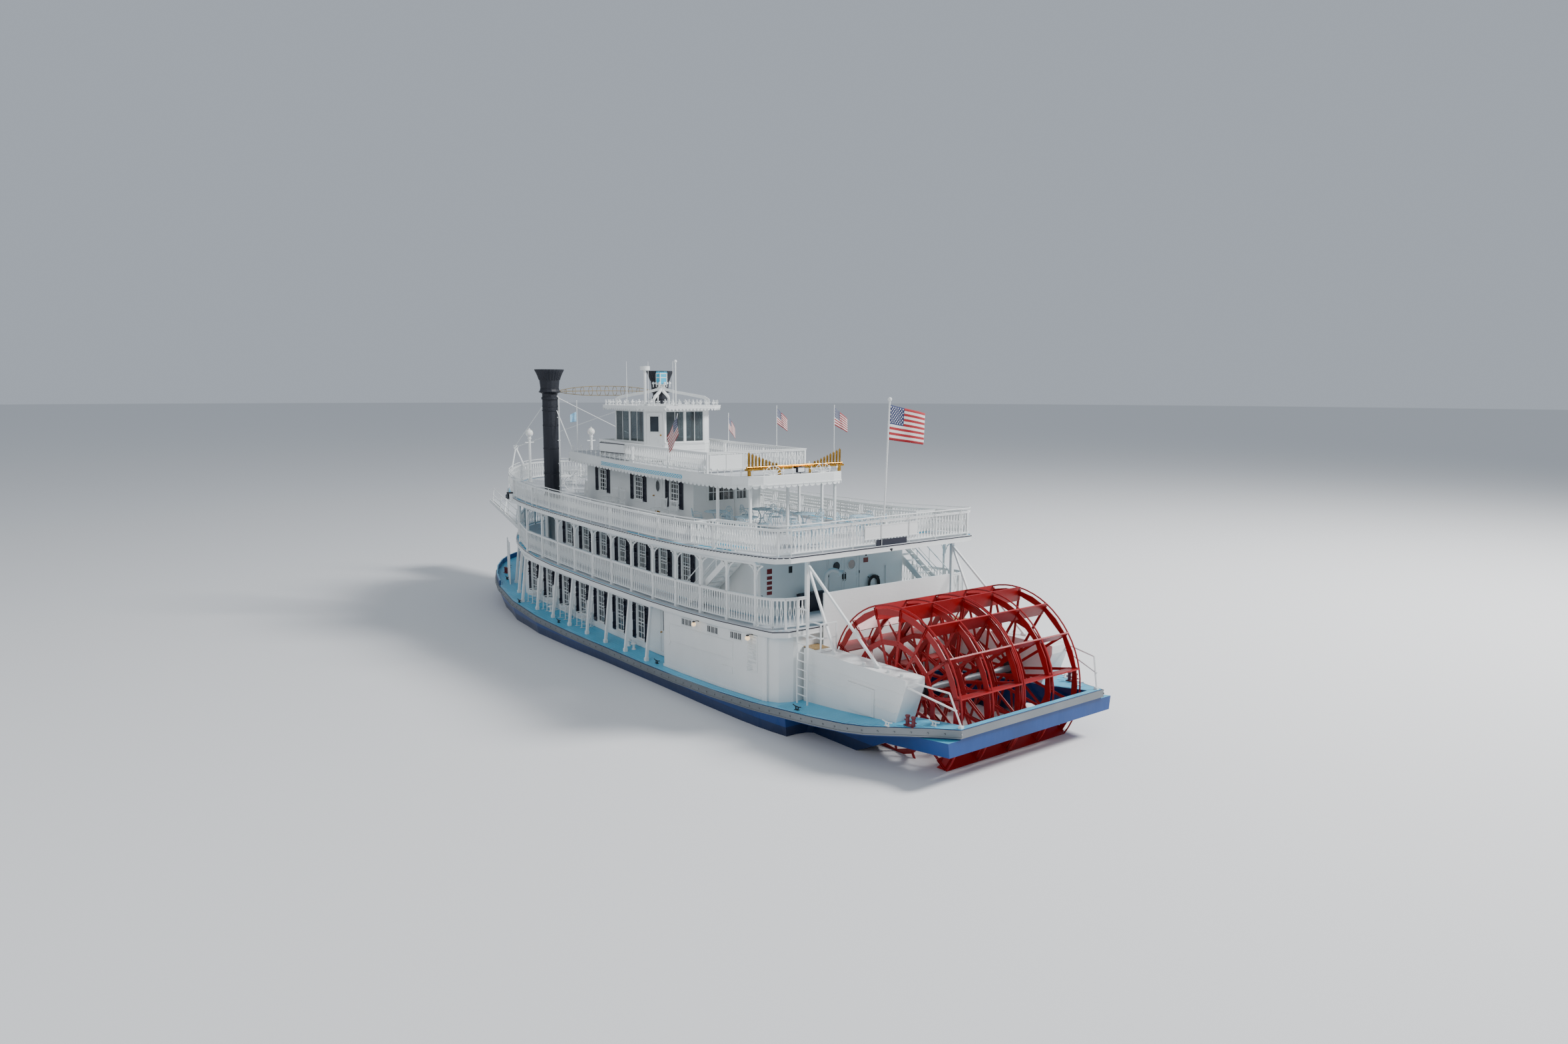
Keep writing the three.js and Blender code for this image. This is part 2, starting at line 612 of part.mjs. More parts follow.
// Walls of a cabin from its outline, hollow, with openings cut.
function walls(outline, thickness, [z0, z1], openings, how) {
  const shell = slab(outline, [z0, z1], [shrunk(outline, thickness)]);
  return cut(lifted(shell, how), openings.map((opening) => lifted(opening, how)));
}

// An outline moved inwards by an amount, corner by corner.
function shrunk(outline, by) {
  const count = outline.length;
  return outline.map((point, i) => {
    const before = outline[(i + count - 1) % count];
    const after = outline[(i + 1) % count];
    const u = new THREE.Vector2(point[0] - before[0], point[1] - before[1]).normalize();
    const v = new THREE.Vector2(after[0] - point[0], after[1] - point[1]).normalize();
    const n = new THREE.Vector2(-u.y - v.y, u.x + v.x).normalize();
    const scale = by / (n.x * -u.y + n.y * u.x);
    return [point[0] + n.x * scale, point[1] + n.y * scale];
  });
}

// A low balustrade: top rail, foot rail, and posts along an outline at least a pitch apart.
function balustrade(outline, [foot, top], pitch) {
  const pieces = [];
  const count = outline.length;
  let since = pitch;
  for (let i = 0; i < count; i += 1) {
    const p = outline[i];
    const q = outline[(i + 1) % outline.length];
    const run = Math.hypot(q[0] - p[0], q[1] - p[1]);
    const bays = Math.max(1, Math.round(run / pitch));
    for (let k = 0; k < bays; k += 1) {
      const x = p[0] + ((q[0] - p[0]) * k) / bays;
      const y = p[1] + ((q[1] - p[1]) * k) / bays;
      if (since > 0.7 * pitch) {
        pieces.push(lifted(box([x - 40, x + 40], [y - 40, y + 40], [foot + SEAT, top - 20])));
        since = 0;
      }
      since += run / bays;
    }
  }
  return join([hoop(outline, [-45, 45], [top - 60, top]), hoop(outline, [-30, 30], [foot + 85, foot + 135]),
    ...pieces]);
}

// Rail round a stairwell's inner side and one end, from the outer rail.
function wellRail({ foot, head, side, well }, [low, top], outer) {
  const end = head < foot ? well[1] + 60 : well[0] - 60;
  const other = head < foot ? well[0] : well[1];
  const inner = (WELL_SIDES[0] - 60) * side;
  const path = [[end, outer * side], [end, inner], [other, inner]];
  const pieces = path.slice(1).flatMap(([x, y], i) => {
    const [x0, y0] = path[i];
    return [top - 30, low + 110].map((z) => bar([x0, y0, z], [x, y, z], 60, 60));
  });
  path.slice(1).forEach(([x, y]) => {
    pieces.push(box([x - 35, x + 35], [y - 35, y + 35], [low + SEAT, top - 10]));
  });
  return joinLifted(pieces);
}

// Sternwheel: each half is three frames of rims and arms with buckets across them.
function polar(radius, turn) {
  return new THREE.Vector2(radius * Math.cos(turn), radius * Math.sin(turn));
}

// One flat frame: a disc with openings between its arms, its rims and its hub.
function wheelFrame(y, thickness) {
  const { radius, buckets } = WHEEL;
  const step = (2 * Math.PI) / buckets;
  const round = Array.from({ length: 2 * buckets }, (_, i) => polar(radius - 130, (i * step) / 2));
  const shape = new THREE.Shape(round);
  const bands = [[radius - 1080, radius - 300], [330, radius - 1250]];
  for (let i = 0; i < buckets; i += 1) {
    bands.forEach(([low, high]) => {
      const from = (r) => i * step + 45 / r;
      const to = (r) => (i + 1) * step - 45 / r;
      const hole = [polar(low, from(low)), polar(high, from(high)), polar(high, to(high)), polar(low, to(low))];
      shape.holes.push(new THREE.Path(hole));
    });
  }
  const plate = new THREE.ExtrudeGeometry(shape, { depth: thickness, bevelEnabled: false });
  return plate.rotateX(Math.PI / 2).translate(0, y, 0);
}

function wheelHalf() {
  const frames = [55, WHEEL.half / 2 + 30, WHEEL.half];
  const pieces = frames.map((y) => wheelFrame(y, 25));
  pieces.push(rod([0, 40, 0], [0, 100, 0], 420, 15));
  pieces.push(rod([0, WHEEL.half - 60, 0], [0, WHEEL.half - 12, 0], 420, 15));
  for (let i = 0; i < WHEEL.buckets; i += 1) {
    const turn = (i / WHEEL.buckets) * 2 * Math.PI;
    const bucket = new THREE.BoxGeometry(480, WHEEL.half - 54, 45);
    pieces.push(bucket.translate(WHEEL.radius - 240, (WHEEL.half + 30) / 2, 0).rotateY(-turn));
  }
  const bore = rod([0, 0, 0], [0, WHEEL.half + 50, 0], WHEEL.shaft + SEAT, ROUND);
  return cut(join(pieces), [bore]).translate(WHEEL.x, 0, WHEEL.z);
}

function shaft() {
  const long = BOX.inner + 350;
  return rod([WHEEL.x, -long, WHEEL.z], [WHEEL.x, long, WHEEL.z], WHEEL.shaft, ROUND);
}

function bearing() {
  const y = [BOX.inner - 100, BOX.inner - SEAT];
  const block = box([WHEEL.x - 260, WHEEL.x + 260], y, [WHEEL.z - 230, WHEEL.z + 230]);
  const bore = rod([0, y[0] - 50, 0], [0, y[1] + 50, 0], (WHEEL.shaft + SEAT) / FLAT, ROUND);
  return cut(block, [bore.rotateY(Math.PI / ROUND).translate(WHEEL.x, 0, WHEEL.z)]);
}

// Cylinder-timber box: its foot follows the deck, its top is level.
function timberBox() {
  const feet = KNOTS.filter((x) => x > -16120 && x < BOX.front).map((x) => [x, sheer(x) + SEAT]);
  const outline = [[-16120, sheer(-16120) + SEAT], ...feet, [BOX.front, sheer(BOX.front) + SEAT],
    [BOX.front, BOX.top], [BOX.back, BOX.top], [BOX.back, BOX.top - 250]];
  const body = cheek(outline, [BOX.inner, BOX.outer]);
  const bore = rod([WHEEL.x, BOX.inner - 50, WHEEL.z], [WHEEL.x, BOX.inner + 450, WHEEL.z], WHEEL.shaft + 20, 16);
  return cut(body, [bore]);
}

function braceFrame() {
  const y = 3400;
  const post = -11520;
  const heights = [DECK_2 + SEAT, DECK_3 - FASCIA - SEAT];
  const top = sheer(post) + heights[1] - 100;
  const feet = [-12940, -14970];
  const pieces = [lifted(box([post - 60, post + 60], [y - 60, y + 60], heights))];
  feet.forEach((x) => {
    pieces.push(bar([post, y, top], [x, y, BOX.top + 60], 70, 70));
    pieces.push(box([x - 120, x + 120], [y - 60, y + 60], [BOX.top + SEAT, BOX.top + 90]));
  });
  return join(pieces);
}

function splashBoard() {
  const half = BOX.inner - SEAT;
  const foot = sheer(-11860) + SEAT;
  return box([-11860, -11800], [-half, half], [foot, SPLASH_TOP]);
}

function chimney() {
  const roof = sheer(CHIMNEY.x) + DECK_3;
  const profile = [[0, 0], [430, 0], [430, 160], [CHIMNEY.radius, 260], [CHIMNEY.radius, CHIMNEY.top - 1140 - roof],
    [500, CHIMNEY.top - 1080 - roof], [430, CHIMNEY.top - 900 - roof], [470, CHIMNEY.top - 500 - roof],
    [675, CHIMNEY.top - 20 - roof], [675, CHIMNEY.top - roof], [600, CHIMNEY.top - roof],
    [300, CHIMNEY.top - 700 - roof], [0, CHIMNEY.top - 700 - roof]];
  const body = turned(profile, [CHIMNEY.x, CHIMNEY.y], CHIMNEY.sides).translate(0, 0, DECK_3 + SEAT);
  return lifted(body, { level: DECK_3 + 50, x: CHIMNEY.x });
}

// Cabins.
function windowRow({ windows: { first, spacing, count }, sill, lintel }, half) {
  return Array.from({ length: count }, (_, k) => first - spacing * k).flatMap((x) =>
    both(box([x - WINDOW_HALF, x + WINDOW_HALF], [half - 300, half + 300], [sill, lintel])));
}

function deckhouse() {
  const { back, step, fore, wide, narrow } = HOUSE;
  const outline = outlineOf([[back, wide - 600], [back + 250, wide - 200], [back + 890, wide], [step, wide],
    [step, narrow], [fore - 600, narrow], [fore, narrow - 500]]);
  const openings = windowRow(HOUSE, narrow);
  openings.push(...both(box([-3900, -3050], [narrow - 300, narrow + 300], [-100, 2000])));
  openings.push(box([fore - 300, fore + 300], [-500, 500], [-100, 2000]));
  return walls(outline, 60, [SEAT, DECK_2 - FASCIA - SEAT], openings);
}

function cabin2() {
  const { back, fore, half } = SALOON;
  const openings = windowRow(SALOON, half);
  openings.push(...both(box([7600, 8400], [half - 300, half + 300], [2000, 4450])));
  openings.push(box([back - 300, back + 300], AFT_DOOR, [DECK_2 + 60, 4450]));
  const outline = outlineOf([[back, half], [fore, half]]);
  return walls(outline, 60, [DECK_2 + SEAT, DECK_3 - FASCIA - SEAT], openings);
}

function texas() {
  const { back, fore, half, sill, lintel, door: leaf } = TEXAS;
  const openings = [];
  [5910, 2540, -490].forEach((x) => {
    openings.push(...both(box([x - 330, x + 330], [half - 300, half + 300], [sill, lintel])));
  });
  openings.push(...both(box(leaf, [half - 300, half + 300], [4000, 6700])));
  openings.push(box([back - 300, back + 300], [-980, 980], [5830, 6490]));
  const outline = outlineOf([[back, half], [fore, half]]);
  return walls(outline, 60, [DECK_3 + SEAT, ROOF - PLATE - SEAT], openings);
}

function roof() {
  const plate = upperDeck(ROOF_ROWS, [ROOF - PLATE, ROOF]);
  return join([plate, hoop(outlineOf(ROOF_ROWS), [0, 45], [6790, ROOF - 5])]);
}

// Posts and beams that carry the roof aft of the cabin.
function pergolaPosts() {
  const posts = [[-6450, 2050], [-4870, 2450], [-6060, 0], [-2530, 0], [-3680, -2450], [-5180, -2450],
    [-6450, -2050]];
  const [low, high] = [ROOF - PLATE - 120, ROOF - PLATE - SEAT];
  const beams = [[[-6450, 2050], [-6450, -2050]], [[-6450, 2050], [-4870, 2450]], [[-6450, 0], [-2530, 0]],
    [[-3680, -2450], [-5180, -2450]], [[-5180, -2450], [-6450, -2050]]];
  const middle = (low + high) / 2;
  return joinLifted([
    ...posts.map(([x, y]) => box([x - 45, x + 45], [y - 45, y + 45], [DECK_3 + SEAT, high - 20])),
    ...beams.map(([p, q]) => bar([...p, middle], [...q, middle], 90, high - low)),
  ]);
}

// The pilothouse's plan, an oblong with cut corners, grown by an amount.
function pilotPlan(grown = 0) {
  const { middle, length, half, chamfer } = PILOT;
  const [a, b, c] = [length / 2 + grown, half + grown, chamfer + grown * (2 - Math.SQRT2)];
  return outlineOf([[middle - a, b - c], [middle - a + c, b], [middle + a - c, b], [middle + a, b - c]]);
}

// Puts a piece, built with x along its face and y out of it, on the port after corner of the pilothouse.
function onCorner(geometry) {
  const { middle, length, half, chamfer } = PILOT;
  return geometry.rotateZ(Math.PI / 4).translate(middle - (length - chamfer) / 2, half - chamfer / 2, 0);
}

function pilothouse() {
  const { middle, length, half, chamfer, eave } = PILOT;
  const floor = ROOF + SEAT;
  const top = eave - sheer(middle);
  const band = [top - 1480, top - 110];
  const [back, front] = [middle - length / 2, middle + length / 2];
  const ends = half - chamfer - 60;
  const sides = [back + chamfer + 50, front - chamfer - 50];
  const openings = [
    onCorner(box([-360, 360], [-300, 300], [ROOF - 100, top - 150])),
    ...[back, front].flatMap((x) => both(box([x - 300, x + 300], [35, ends], band))),
    ...both(box([sides[0], middle - 35], [half - 300, half + 300], band)),
    ...both(box([middle + 35, sides[1]], [half - 300, half + 300], band)),
  ];
  return walls(pilotPlan(), 50, [floor, top], openings, { level: ROOF + 200, x: middle });
}

// Flat roof slab with four bent ribs that rise from its corners to a square crown.
function pilothouseRoof() {
  const { middle, length, half, chamfer, eave, brow } = PILOT;
  const top = eave + BROW_DEPTH;
  const corner = [(length - chamfer) / 2, half - chamfer / 2];
  const foot = Math.hypot(...corner) + 120;
  const over = [[foot, -40], [foot, 280], [0.9 * foot, 420], [0.5 * foot, 570], [0.3 * foot, 640],
    [0.09 * foot, 760], [80, 940], [-20, 940]];
  const under = [[-20, 780], [0.09 * foot, 640], [0.3 * foot, 520], [0.5 * foot, 450], [0.9 * foot - 90, 300],
    [foot - 120, 230], [foot - 120, -40]];
  const rib = cheek([...over, ...under], [-40, 40]);
  const turn = Math.atan2(corner[1], corner[0]);
  const ribs = [turn, Math.PI - turn, Math.PI + turn, -turn].map((angle) => rib.clone().rotateZ(angle)
    .translate(middle, 0, top));
  const crown = box([middle - 170, middle + 170], [-170, 170], [top + 900, top + 1440]);
  return join([slab(pilotPlan(brow), [eave + SEAT, top]), ...ribs, crown]);
}

// Landing stage, built level from its hinge and then tilted.
function tilt(geometry) {
  return geometry.rotateY(-STAGE.angle).translate(STAGE.x, 0, STAGE.z);
}

function landingStage() {
  const { length, half } = STAGE;
  const pieces = [box([60, length], [-half, half], [-60, 20])];
  [-half, half].forEach((y) => {
    pieces.push(box([-40, length], [y - 40, y + 40], [-120, 60]));
    for (let k = 0; k < 6; k += 1) {
      const x = 4300 + k * 1150;
      pieces.push(box([x - 22, x + 22], [y - 22, y + 22], [0, 850]));
    }
    [430, 830].forEach((z) => pieces.push(box([4300, 4300 + 5 * 1150], [y - 20, y + 20], [z, z + 40])));
  });
  pieces.push(box([-40, 100], [-half, half], [-120, 20]));
  const bore = rod([0, -half - 100, -50], [0, half + 100, -50], (30 + SEAT) / FLAT, ROUND);
  return tilt(cut(join(pieces), [bore]));
}

function aFrame() {
  const foot = 8270;
  const apex = [10210, 0, 3334];
  const pieces = [];
  [-1, 1].forEach((side) => {
    pieces.push(rod([foot, side * STAGE.half, 110], apex, 45, 8));
    pieces.push(box([foot - 120, foot + 120], [side * STAGE.half - 38, side * STAGE.half + 38],
      [60 + SEAT, 160]));
  });
  pieces.push(new THREE.BoxGeometry(160, 240, 160).translate(...apex));
  return tilt(join(pieces));
}

function stageBracket() {
  const { x, half } = STAGE;
  const z = STAGE.z;
  const pin = [x - 50 * Math.sin(STAGE.angle) * -1, z - 50 * Math.cos(STAGE.angle)];
  const deck = sheer(x);
  const pieces = [rod([pin[0], -half - 160, pin[1]], [pin[0], half + 160, pin[1]], 30, ROUND)];
  [-1, 1].forEach((side) => {
    const y = [side * (half + 90) - 40, side * (half + 90) + 40];
    pieces.push(box([x - 160, x + 160], y, [deck + 30, pin[1] + 70]));
  });
  const base = lifted(box([x - 220, x + 220], [-half - 160, half + 160], [SEAT, 60]));
  return join([...pieces, base]);
}

// A door: its leaf, and two barrels that turn on an axis just clear of the wall's face.
function door({ x, y, z, axis, out }, how) {
  const pieces = [box(x, y, z)];
  const knuckle = Math.hypot(RUN, PIN) - SEAT;
  const [ax, ay] = axis;
  const inward = [(x[0] + x[1]) / 2 - ax, (y[0] + y[1]) / 2 - ay];
  [z[0] + 250, z[1] - 370].forEach((low) => {
    pieces.push(rod([ax, ay, low], [ax, ay, low + 120], knuckle, 12));
    const reach = (k) => (out[k] === 0 ? [0, Math.sign(inward[k]) * 70] : [0, -out[k] * 20]);
    const [dx, dy] = [reach(0), reach(1)].map((pair) => pair.sort((a, b) => a - b));
    pieces.push(box([ax + dx[0], ax + dx[1]], [ay + dy[0], ay + dy[1]], [low + 20, low + 100]));
  });
  return joinLifted(pieces, how);
}

// A flag on its pole: an upright sheet whose hoist and fly edges lean like the pole, drooping toward the fly.
// A flag on its pole: a sheet drooping toward its fly, with its hoist edge along the pole. One with a slope
// across the pole hangs on the pole's side instead, past it both ways.
function flag({ pole: [x, y, radius, lean], hoist, fly: [fx, fy], droop, narrow, wave, across }) {
  const steps = 6;
  const thickness = 14;
  const length = Math.hypot(fx, fy);
  const [ux, uy] = [fx / length, fy / length];
  const slope = across ?? lean;
  const start = across ? 0 : radius * Math.hypot(1, lean) + 2 * SEAT;
  const beside = across ? radius + thickness / 2 + 2 * SEAT : 0;
  const centre = (hoist[0] + hoist[1]) / 2;
  const rings = [];
  for (let i = 0; i <= steps; i += 1) {
    const t = i / steps;
    const bend = beside + wave * Math.sin(t * 2.2 * Math.PI) * Math.sqrt(t);
    const scale = 1 - (1 - narrow) * t;
    const corner = (end, side) => [
      x + ux * start + fx * t - uy * (bend + side) + slope * (hoist[1] - end),
      y + uy * start + fy * t + ux * (bend + side),
      centre + (end - centre) * scale - droop * t,
    ];
    const [low, top] = hoist;
    const [near, far] = [-thickness / 2, thickness / 2];
    rings.push([corner(low, near), corner(top, near), corner(top, far), corner(low, far)]);
  }
  return sheetLoft(rings);
}

// A loft of four-cornered rings that stand upright, whatever way they face.
function sheetLoft(rings) {
  const last = 4 * (rings.length - 1);
  const faces = [[0, 1, 2], [0, 2, 3], [last, last + 2, last + 1], [last, last + 3, last + 2]];
  for (let r = 0; r + 1 < rings.length; r += 1) {
    for (let i = 0; i < 4; i += 1) {
      const [a, b] = [4 * r + i, 4 * r + ((i + 1) % 4)];
      faces.push([a, a + 4, b], [b, a + 4, b + 4]);
    }
  }
  const geometry = new THREE.BufferGeometry();
  geometry.setAttribute("position", new THREE.Float32BufferAttribute(rings.flat(2), 3));
  geometry.setIndex(faces.flat());
  return geometry;
}

// A small flag's pole, from just under or on the roof to past its hoist.
function flagPole({ pole: [x, y, radius, lean], hoist: [, top] }, below) {
  const foot = sheer(x) + ROOF + below;
  return rod([x + lean * (top - foot), y, foot], [x - lean * 120, y, top + 120], radius, 12);
}

const white = PAINT.white;

function addPair(name, geometry, color, how) {
  add(`${name}_port`, geometry, color, how);
  add(`${name}_starboard`, mirrored(geometry), color, how);
}

add("hull", hull(), PAINT.blue, { roughness: 0.35 });
add("rub_rail", rubRail(), PAINT.grey, { roughness: 0.45, metalness: 0.6 });
addPair("rudder", rudder(), PAINT.grey, { metalness: 0.3 });
add("wheel_shaft", shaft(), METAL.steel, { metalness: 0.7 });
addPair("wheel", wheelHalf(), PAINT.red);
addPair("wheel_bearing", bearing(), PAINT.red);
addPair("timber_box", timberBox(), white);
addPair("brace_frame", braceFrame(), white);
add("splash_board", splashBoard(), white);
addPair("fantail_rail", fantailRail(), white);
add("stern_ladder", ladder(), white);

add("deckhouse", deckhouse(), white);
add("engine", engine(), METAL.steel, { metalness: 0.5 });
const lower = { count: 8, foot: 4840, head: 4600, floor: 0, top: DECK_2 - FASCIA };
addPair("colonnade_1", colonnade({ ...lower, bow: [10050, 12000, 13900] }), white);

add("deck_2", upperDeck(PLAN_2, [DECK_2 - FASCIA, DECK_2]), PAINT.cyan);
add("cabin_2", cabin2(), white);
const upper = { count: 12, foot: 4470, head: 4470, floor: DECK_2, top: DECK_3 - FASCIA, rail: 970 };
const roundAft = [[-11540, 3460 + SEAT], [-11540, 3800], [-11380, 4180], [-10950, 4400]];
addPair("colonnade_2", colonnade({ ...upper, bow: [10560, 12300, 13900], corner: roundAft,
  stem: [[14550, 1350], [14870, 0]] }), white);
add("stair_2_port", stair(STAIRS.port), white);
add("stair_2_starboard", stair(STAIRS.starboard), white);

const wells = [[STAIRS.port.well, WELL_SIDES], [STAIRS.starboard.well, WELL_SIDES.map((y) => -y).reverse()]];
add("deck_3", upperDeck(PLAN_3, [DECK_3 - FASCIA, DECK_3], wells), PAINT.cyan);
const rail3 = [DECK_3, 5690];
add("balustrade_3", join([balustrade(outlineOf(inset(PLAN_3, 110)), rail3, 3600),
  ...Object.values(STAIRS).map((way) => wellRail(way, rail3, 4500))]), white);
add("texas", texas(), white);
add("flagpole", flagpole(), white);
LAMPS.forEach((lamp, i) => add(`lamp_post_${i + 1}`, lampPost(lamp), white));

add("roof", join([roof(), flagPole(FLAGS.flag_4, -50)]), PAINT.cyan);
add("pergola_posts", pergolaPosts(), white);
const houseGap = box([4500, 4900], [-1700, 1700], [7000, 10000]);
const rail4 = balustrade(outlineOf([[-4090, 2400], [4700, 2400]]), [ROOF, 7970], 3400);
const poles = [FLAGS.flag_1, FLAGS.flag_2, FLAGS.flag_3].map((row) => flagPole(row, 25));
add("balustrade_4", join([cut(rail4, [houseGap]), ...poles]), white);
add("calliope", calliope(), METAL.brass, { metalness: 0.9, roughness: 0.3 });
add("pilothouse", pilothouse(), white);
add("pilothouse_roof", pilothouseRoof(), PAINT.cyan);
add("mast", mast(), white);
add("radar_post", radarPost(), white);
addPair("chimney", chimney(), METAL.black, { metalness: 0.3 });

add("landing_stage", landingStage(), white);
add("stage_a_frame", aFrame(), white);
add("stage_bracket", stageBracket(), PAINT.grey);
addPair("stage_guy", guy(), METAL.steel, { metalness: 0.6 });

const aftMiddle = (AFT_DOOR[0] + AFT_DOOR[1]) / 2;
const aftDoor = door({ x: [-8930, -8890], y: [aftMiddle + 3, AFT_DOOR[1] - RUN], z: [DECK_2 + 66, 4450 - RUN],
  axis: [-8930 - PIN, AFT_DOOR[1] - RUN], out: [-1, 0] });
add("aft_door_port", aftDoor, white);
add("aft_door_starboard", mirrored(aftDoor).translate(0, 2 * aftMiddle, 0), white);
const texasDoor = { x: [TEXAS.door[0] + RUN, TEXAS.door[1] - RUN], y: [TEXAS.half - 40, TEXAS.half],
  z: [DECK_3 + 12, 6700 - RUN] };
const texasAxis = [TEXAS.door[0] + RUN, TEXAS.half + PIN];
addPair("texas_door", door({ ...texasDoor, axis: texasAxis, out: [0, 1] }), white);
const houseDoor = { x: [-3900 + RUN, -3050 - RUN], y: [3890, 3930], z: [12, 2000 - RUN] };
addPair("deckhouse_door", door({ ...houseDoor, axis: [-3900 + RUN, 3890 - PIN], out: [0, -1] }), white);
const pilotDoor = { x: [-360 + RUN, 360 - RUN], y: [-40, 0],
  z: [ROOF + 12, PILOT.eave - sheer(PILOT.middle) - 150 - RUN] };
add("pilothouse_door", onCorner(door({ ...pilotDoor, axis: [360 - RUN, PIN], out: [0, 1] },
  { level: 0, x: PILOT.middle })), white);
for (const [name, row] of Object.entries(FLAGS)) {
  add(name, flag(row), PAINT.red, { roughness: 0.8 });
}

export default boat;
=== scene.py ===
import math

import bmesh
import bpy
from mathutils import Matrix, Vector


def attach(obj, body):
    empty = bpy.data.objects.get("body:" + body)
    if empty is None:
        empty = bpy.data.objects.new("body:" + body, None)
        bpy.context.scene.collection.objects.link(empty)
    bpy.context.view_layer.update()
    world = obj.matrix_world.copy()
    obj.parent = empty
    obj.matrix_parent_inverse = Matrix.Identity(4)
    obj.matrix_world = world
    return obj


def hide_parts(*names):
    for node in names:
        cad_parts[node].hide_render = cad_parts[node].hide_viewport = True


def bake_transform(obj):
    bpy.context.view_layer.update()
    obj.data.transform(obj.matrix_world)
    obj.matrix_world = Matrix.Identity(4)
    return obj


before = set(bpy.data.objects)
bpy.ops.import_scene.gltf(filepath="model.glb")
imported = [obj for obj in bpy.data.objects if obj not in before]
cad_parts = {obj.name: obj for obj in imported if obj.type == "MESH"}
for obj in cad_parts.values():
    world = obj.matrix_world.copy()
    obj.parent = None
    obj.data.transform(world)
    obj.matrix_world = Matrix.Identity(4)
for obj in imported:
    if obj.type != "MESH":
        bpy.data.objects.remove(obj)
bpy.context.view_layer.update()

# The view: a camera on the port quarter, a little above the upper deck, level with the horizon.
# Its lens takes in the whole boat from the landing stage to the wheel.
camera = bpy.data.objects.new("camera", bpy.data.cameras.new("camera"))
camera.data.lens = 23.389
camera.data.sensor_width = 36.0
camera.data.clip_end = 2000
yaw, pitch, roll = (math.radians(a) for a in (-37.4875, -7.5255, 0.1910))
ahead = Vector((math.cos(pitch) * math.cos(yaw), math.cos(pitch) * math.sin(yaw), math.sin(pitch)))
level = Vector((math.sin(yaw), -math.cos(yaw), 0.0))
upright = level.cross(ahead)
right = math.cos(roll) * level + math.sin(roll) * upright
up = -math.sin(roll) * level + math.cos(roll) * upright
camera.matrix_world = Matrix.Translation((-37.039, 23.935, 11.126)) @ Matrix(
    (right, up, -ahead)).transposed().to_4x4()
bpy.context.scene.collection.objects.link(camera)
bpy.context.scene.camera = camera

# Light: a broad soft key from high on the starboard quarter, a fill from the port side, and a pale room.
# The floor is a plain pale sheet at the waterline.


def soft_light(name, place, aim, size, power):
    lamp = bpy.data.objects.new(name, bpy.data.lights.new(name, "AREA"))
    lamp.data.shape = "DISK"
    lamp.data.size = size
    lamp.data.energy = power
    lamp.location = place
    lamp.rotation_euler = (Vector(aim) - Vector(place)).to_track_quat("-Z", "Y").to_euler()
    bpy.context.scene.collection.objects.link(lamp)


soft_light("key_light", (-45, -50, 60), (-2, 0, 4), 22, 105000)
soft_light("fill_light", (-30, 60, 40), (0, 0, 3), 40, 9000)
room = bpy.data.worlds.new("room")
room.use_nodes = True
room.node_tree.nodes["Background"].inputs["Color"].default_value = (0.74, 0.82, 0.93, 1)
room.node_tree.nodes["Background"].inputs["Strength"].default_value = 0.55
bpy.context.scene.world = room
bpy.ops.mesh.primitive_circle_add(vertices=96, radius=700, fill_type="NGON")
floor = bpy.context.object
floor.name = "floor"

# Hull: welded plate, a little uneven, painted royal blue and darker below a line near the water, with a pale
# blue deck. The rub rail is grey steel on the guard's edge, with two lips and a row of bolts.


def finish_coat(name, roughness, metallic=0.0):
    """A new material and its shader node."""
    coat = bpy.data.materials.new(name)
    coat.use_nodes = True
    shader = coat.node_tree.nodes["Principled BSDF"]
    shader.inputs["Roughness"].default_value = roughness
    shader.inputs["Metallic"].default_value = metallic
    return coat, shader


def rgb(hexed):
    """A colour as linear values from its six hexadecimal digits."""
    parts = [int(hexed[i:i + 2], 16) / 255 for i in (0, 2, 4)]
    return tuple(c / 12.92 if c <= 0.04045 else ((c + 0.055) / 1.055) ** 2.4 for c in parts)


def mottle(coat, scale, dark, pale, stretch=(1, 1, 1), detail=6):
    """A noise over the piece that runs from one colour to another, and its ramp's colour socket."""
    nodes, links = coat.node_tree.nodes, coat.node_tree.links
    place = nodes.new("ShaderNodeTexCoord")
    mapping = nodes.new("ShaderNodeMapping")
    mapping.inputs["Scale"].default_value = stretch
    patches = nodes.new("ShaderNodeTexNoise")
    patches.inputs["Scale"].default_value = scale
    patches.inputs["Detail"].default_value = detail
    links.new(place.outputs["Object"], mapping.inputs["Vector"])
    links.new(mapping.outputs["Vector"], patches.inputs["Vector"])
    ramp = nodes.new("ShaderNodeValToRGB")
    ramp.color_ramp.elements[0].position = 0.32
    ramp.color_ramp.elements[1].position = 0.68
    ramp.color_ramp.elements[0].color = (*dark, 1)
    ramp.color_ramp.elements[1].color = (*pale, 1)
    links.new(patches.outputs["Fac"], ramp.inputs["Fac"])
    return ramp.outputs["Color"]


def relief(coat, shader, height, strength, distance=0.01):
    """Bump from a height socket."""
    nodes, links = coat.node_tree.nodes, coat.node_tree.links
    bump = nodes.new("ShaderNodeBump")
    bump.inputs["Strength"].default_value = strength
    bump.inputs["Distance"].default_value = distance
    links.new(height, bump.inputs["Height"])
    links.new(bump.outputs["Normal"], shader.inputs["Normal"])


def shades(colour, dark, pale):
    """A darker and a paler shade of a colour, by a factor for each."""
    return [[min(1, c * factor) for c in rgb(colour)] for factor in (dark, pale)]


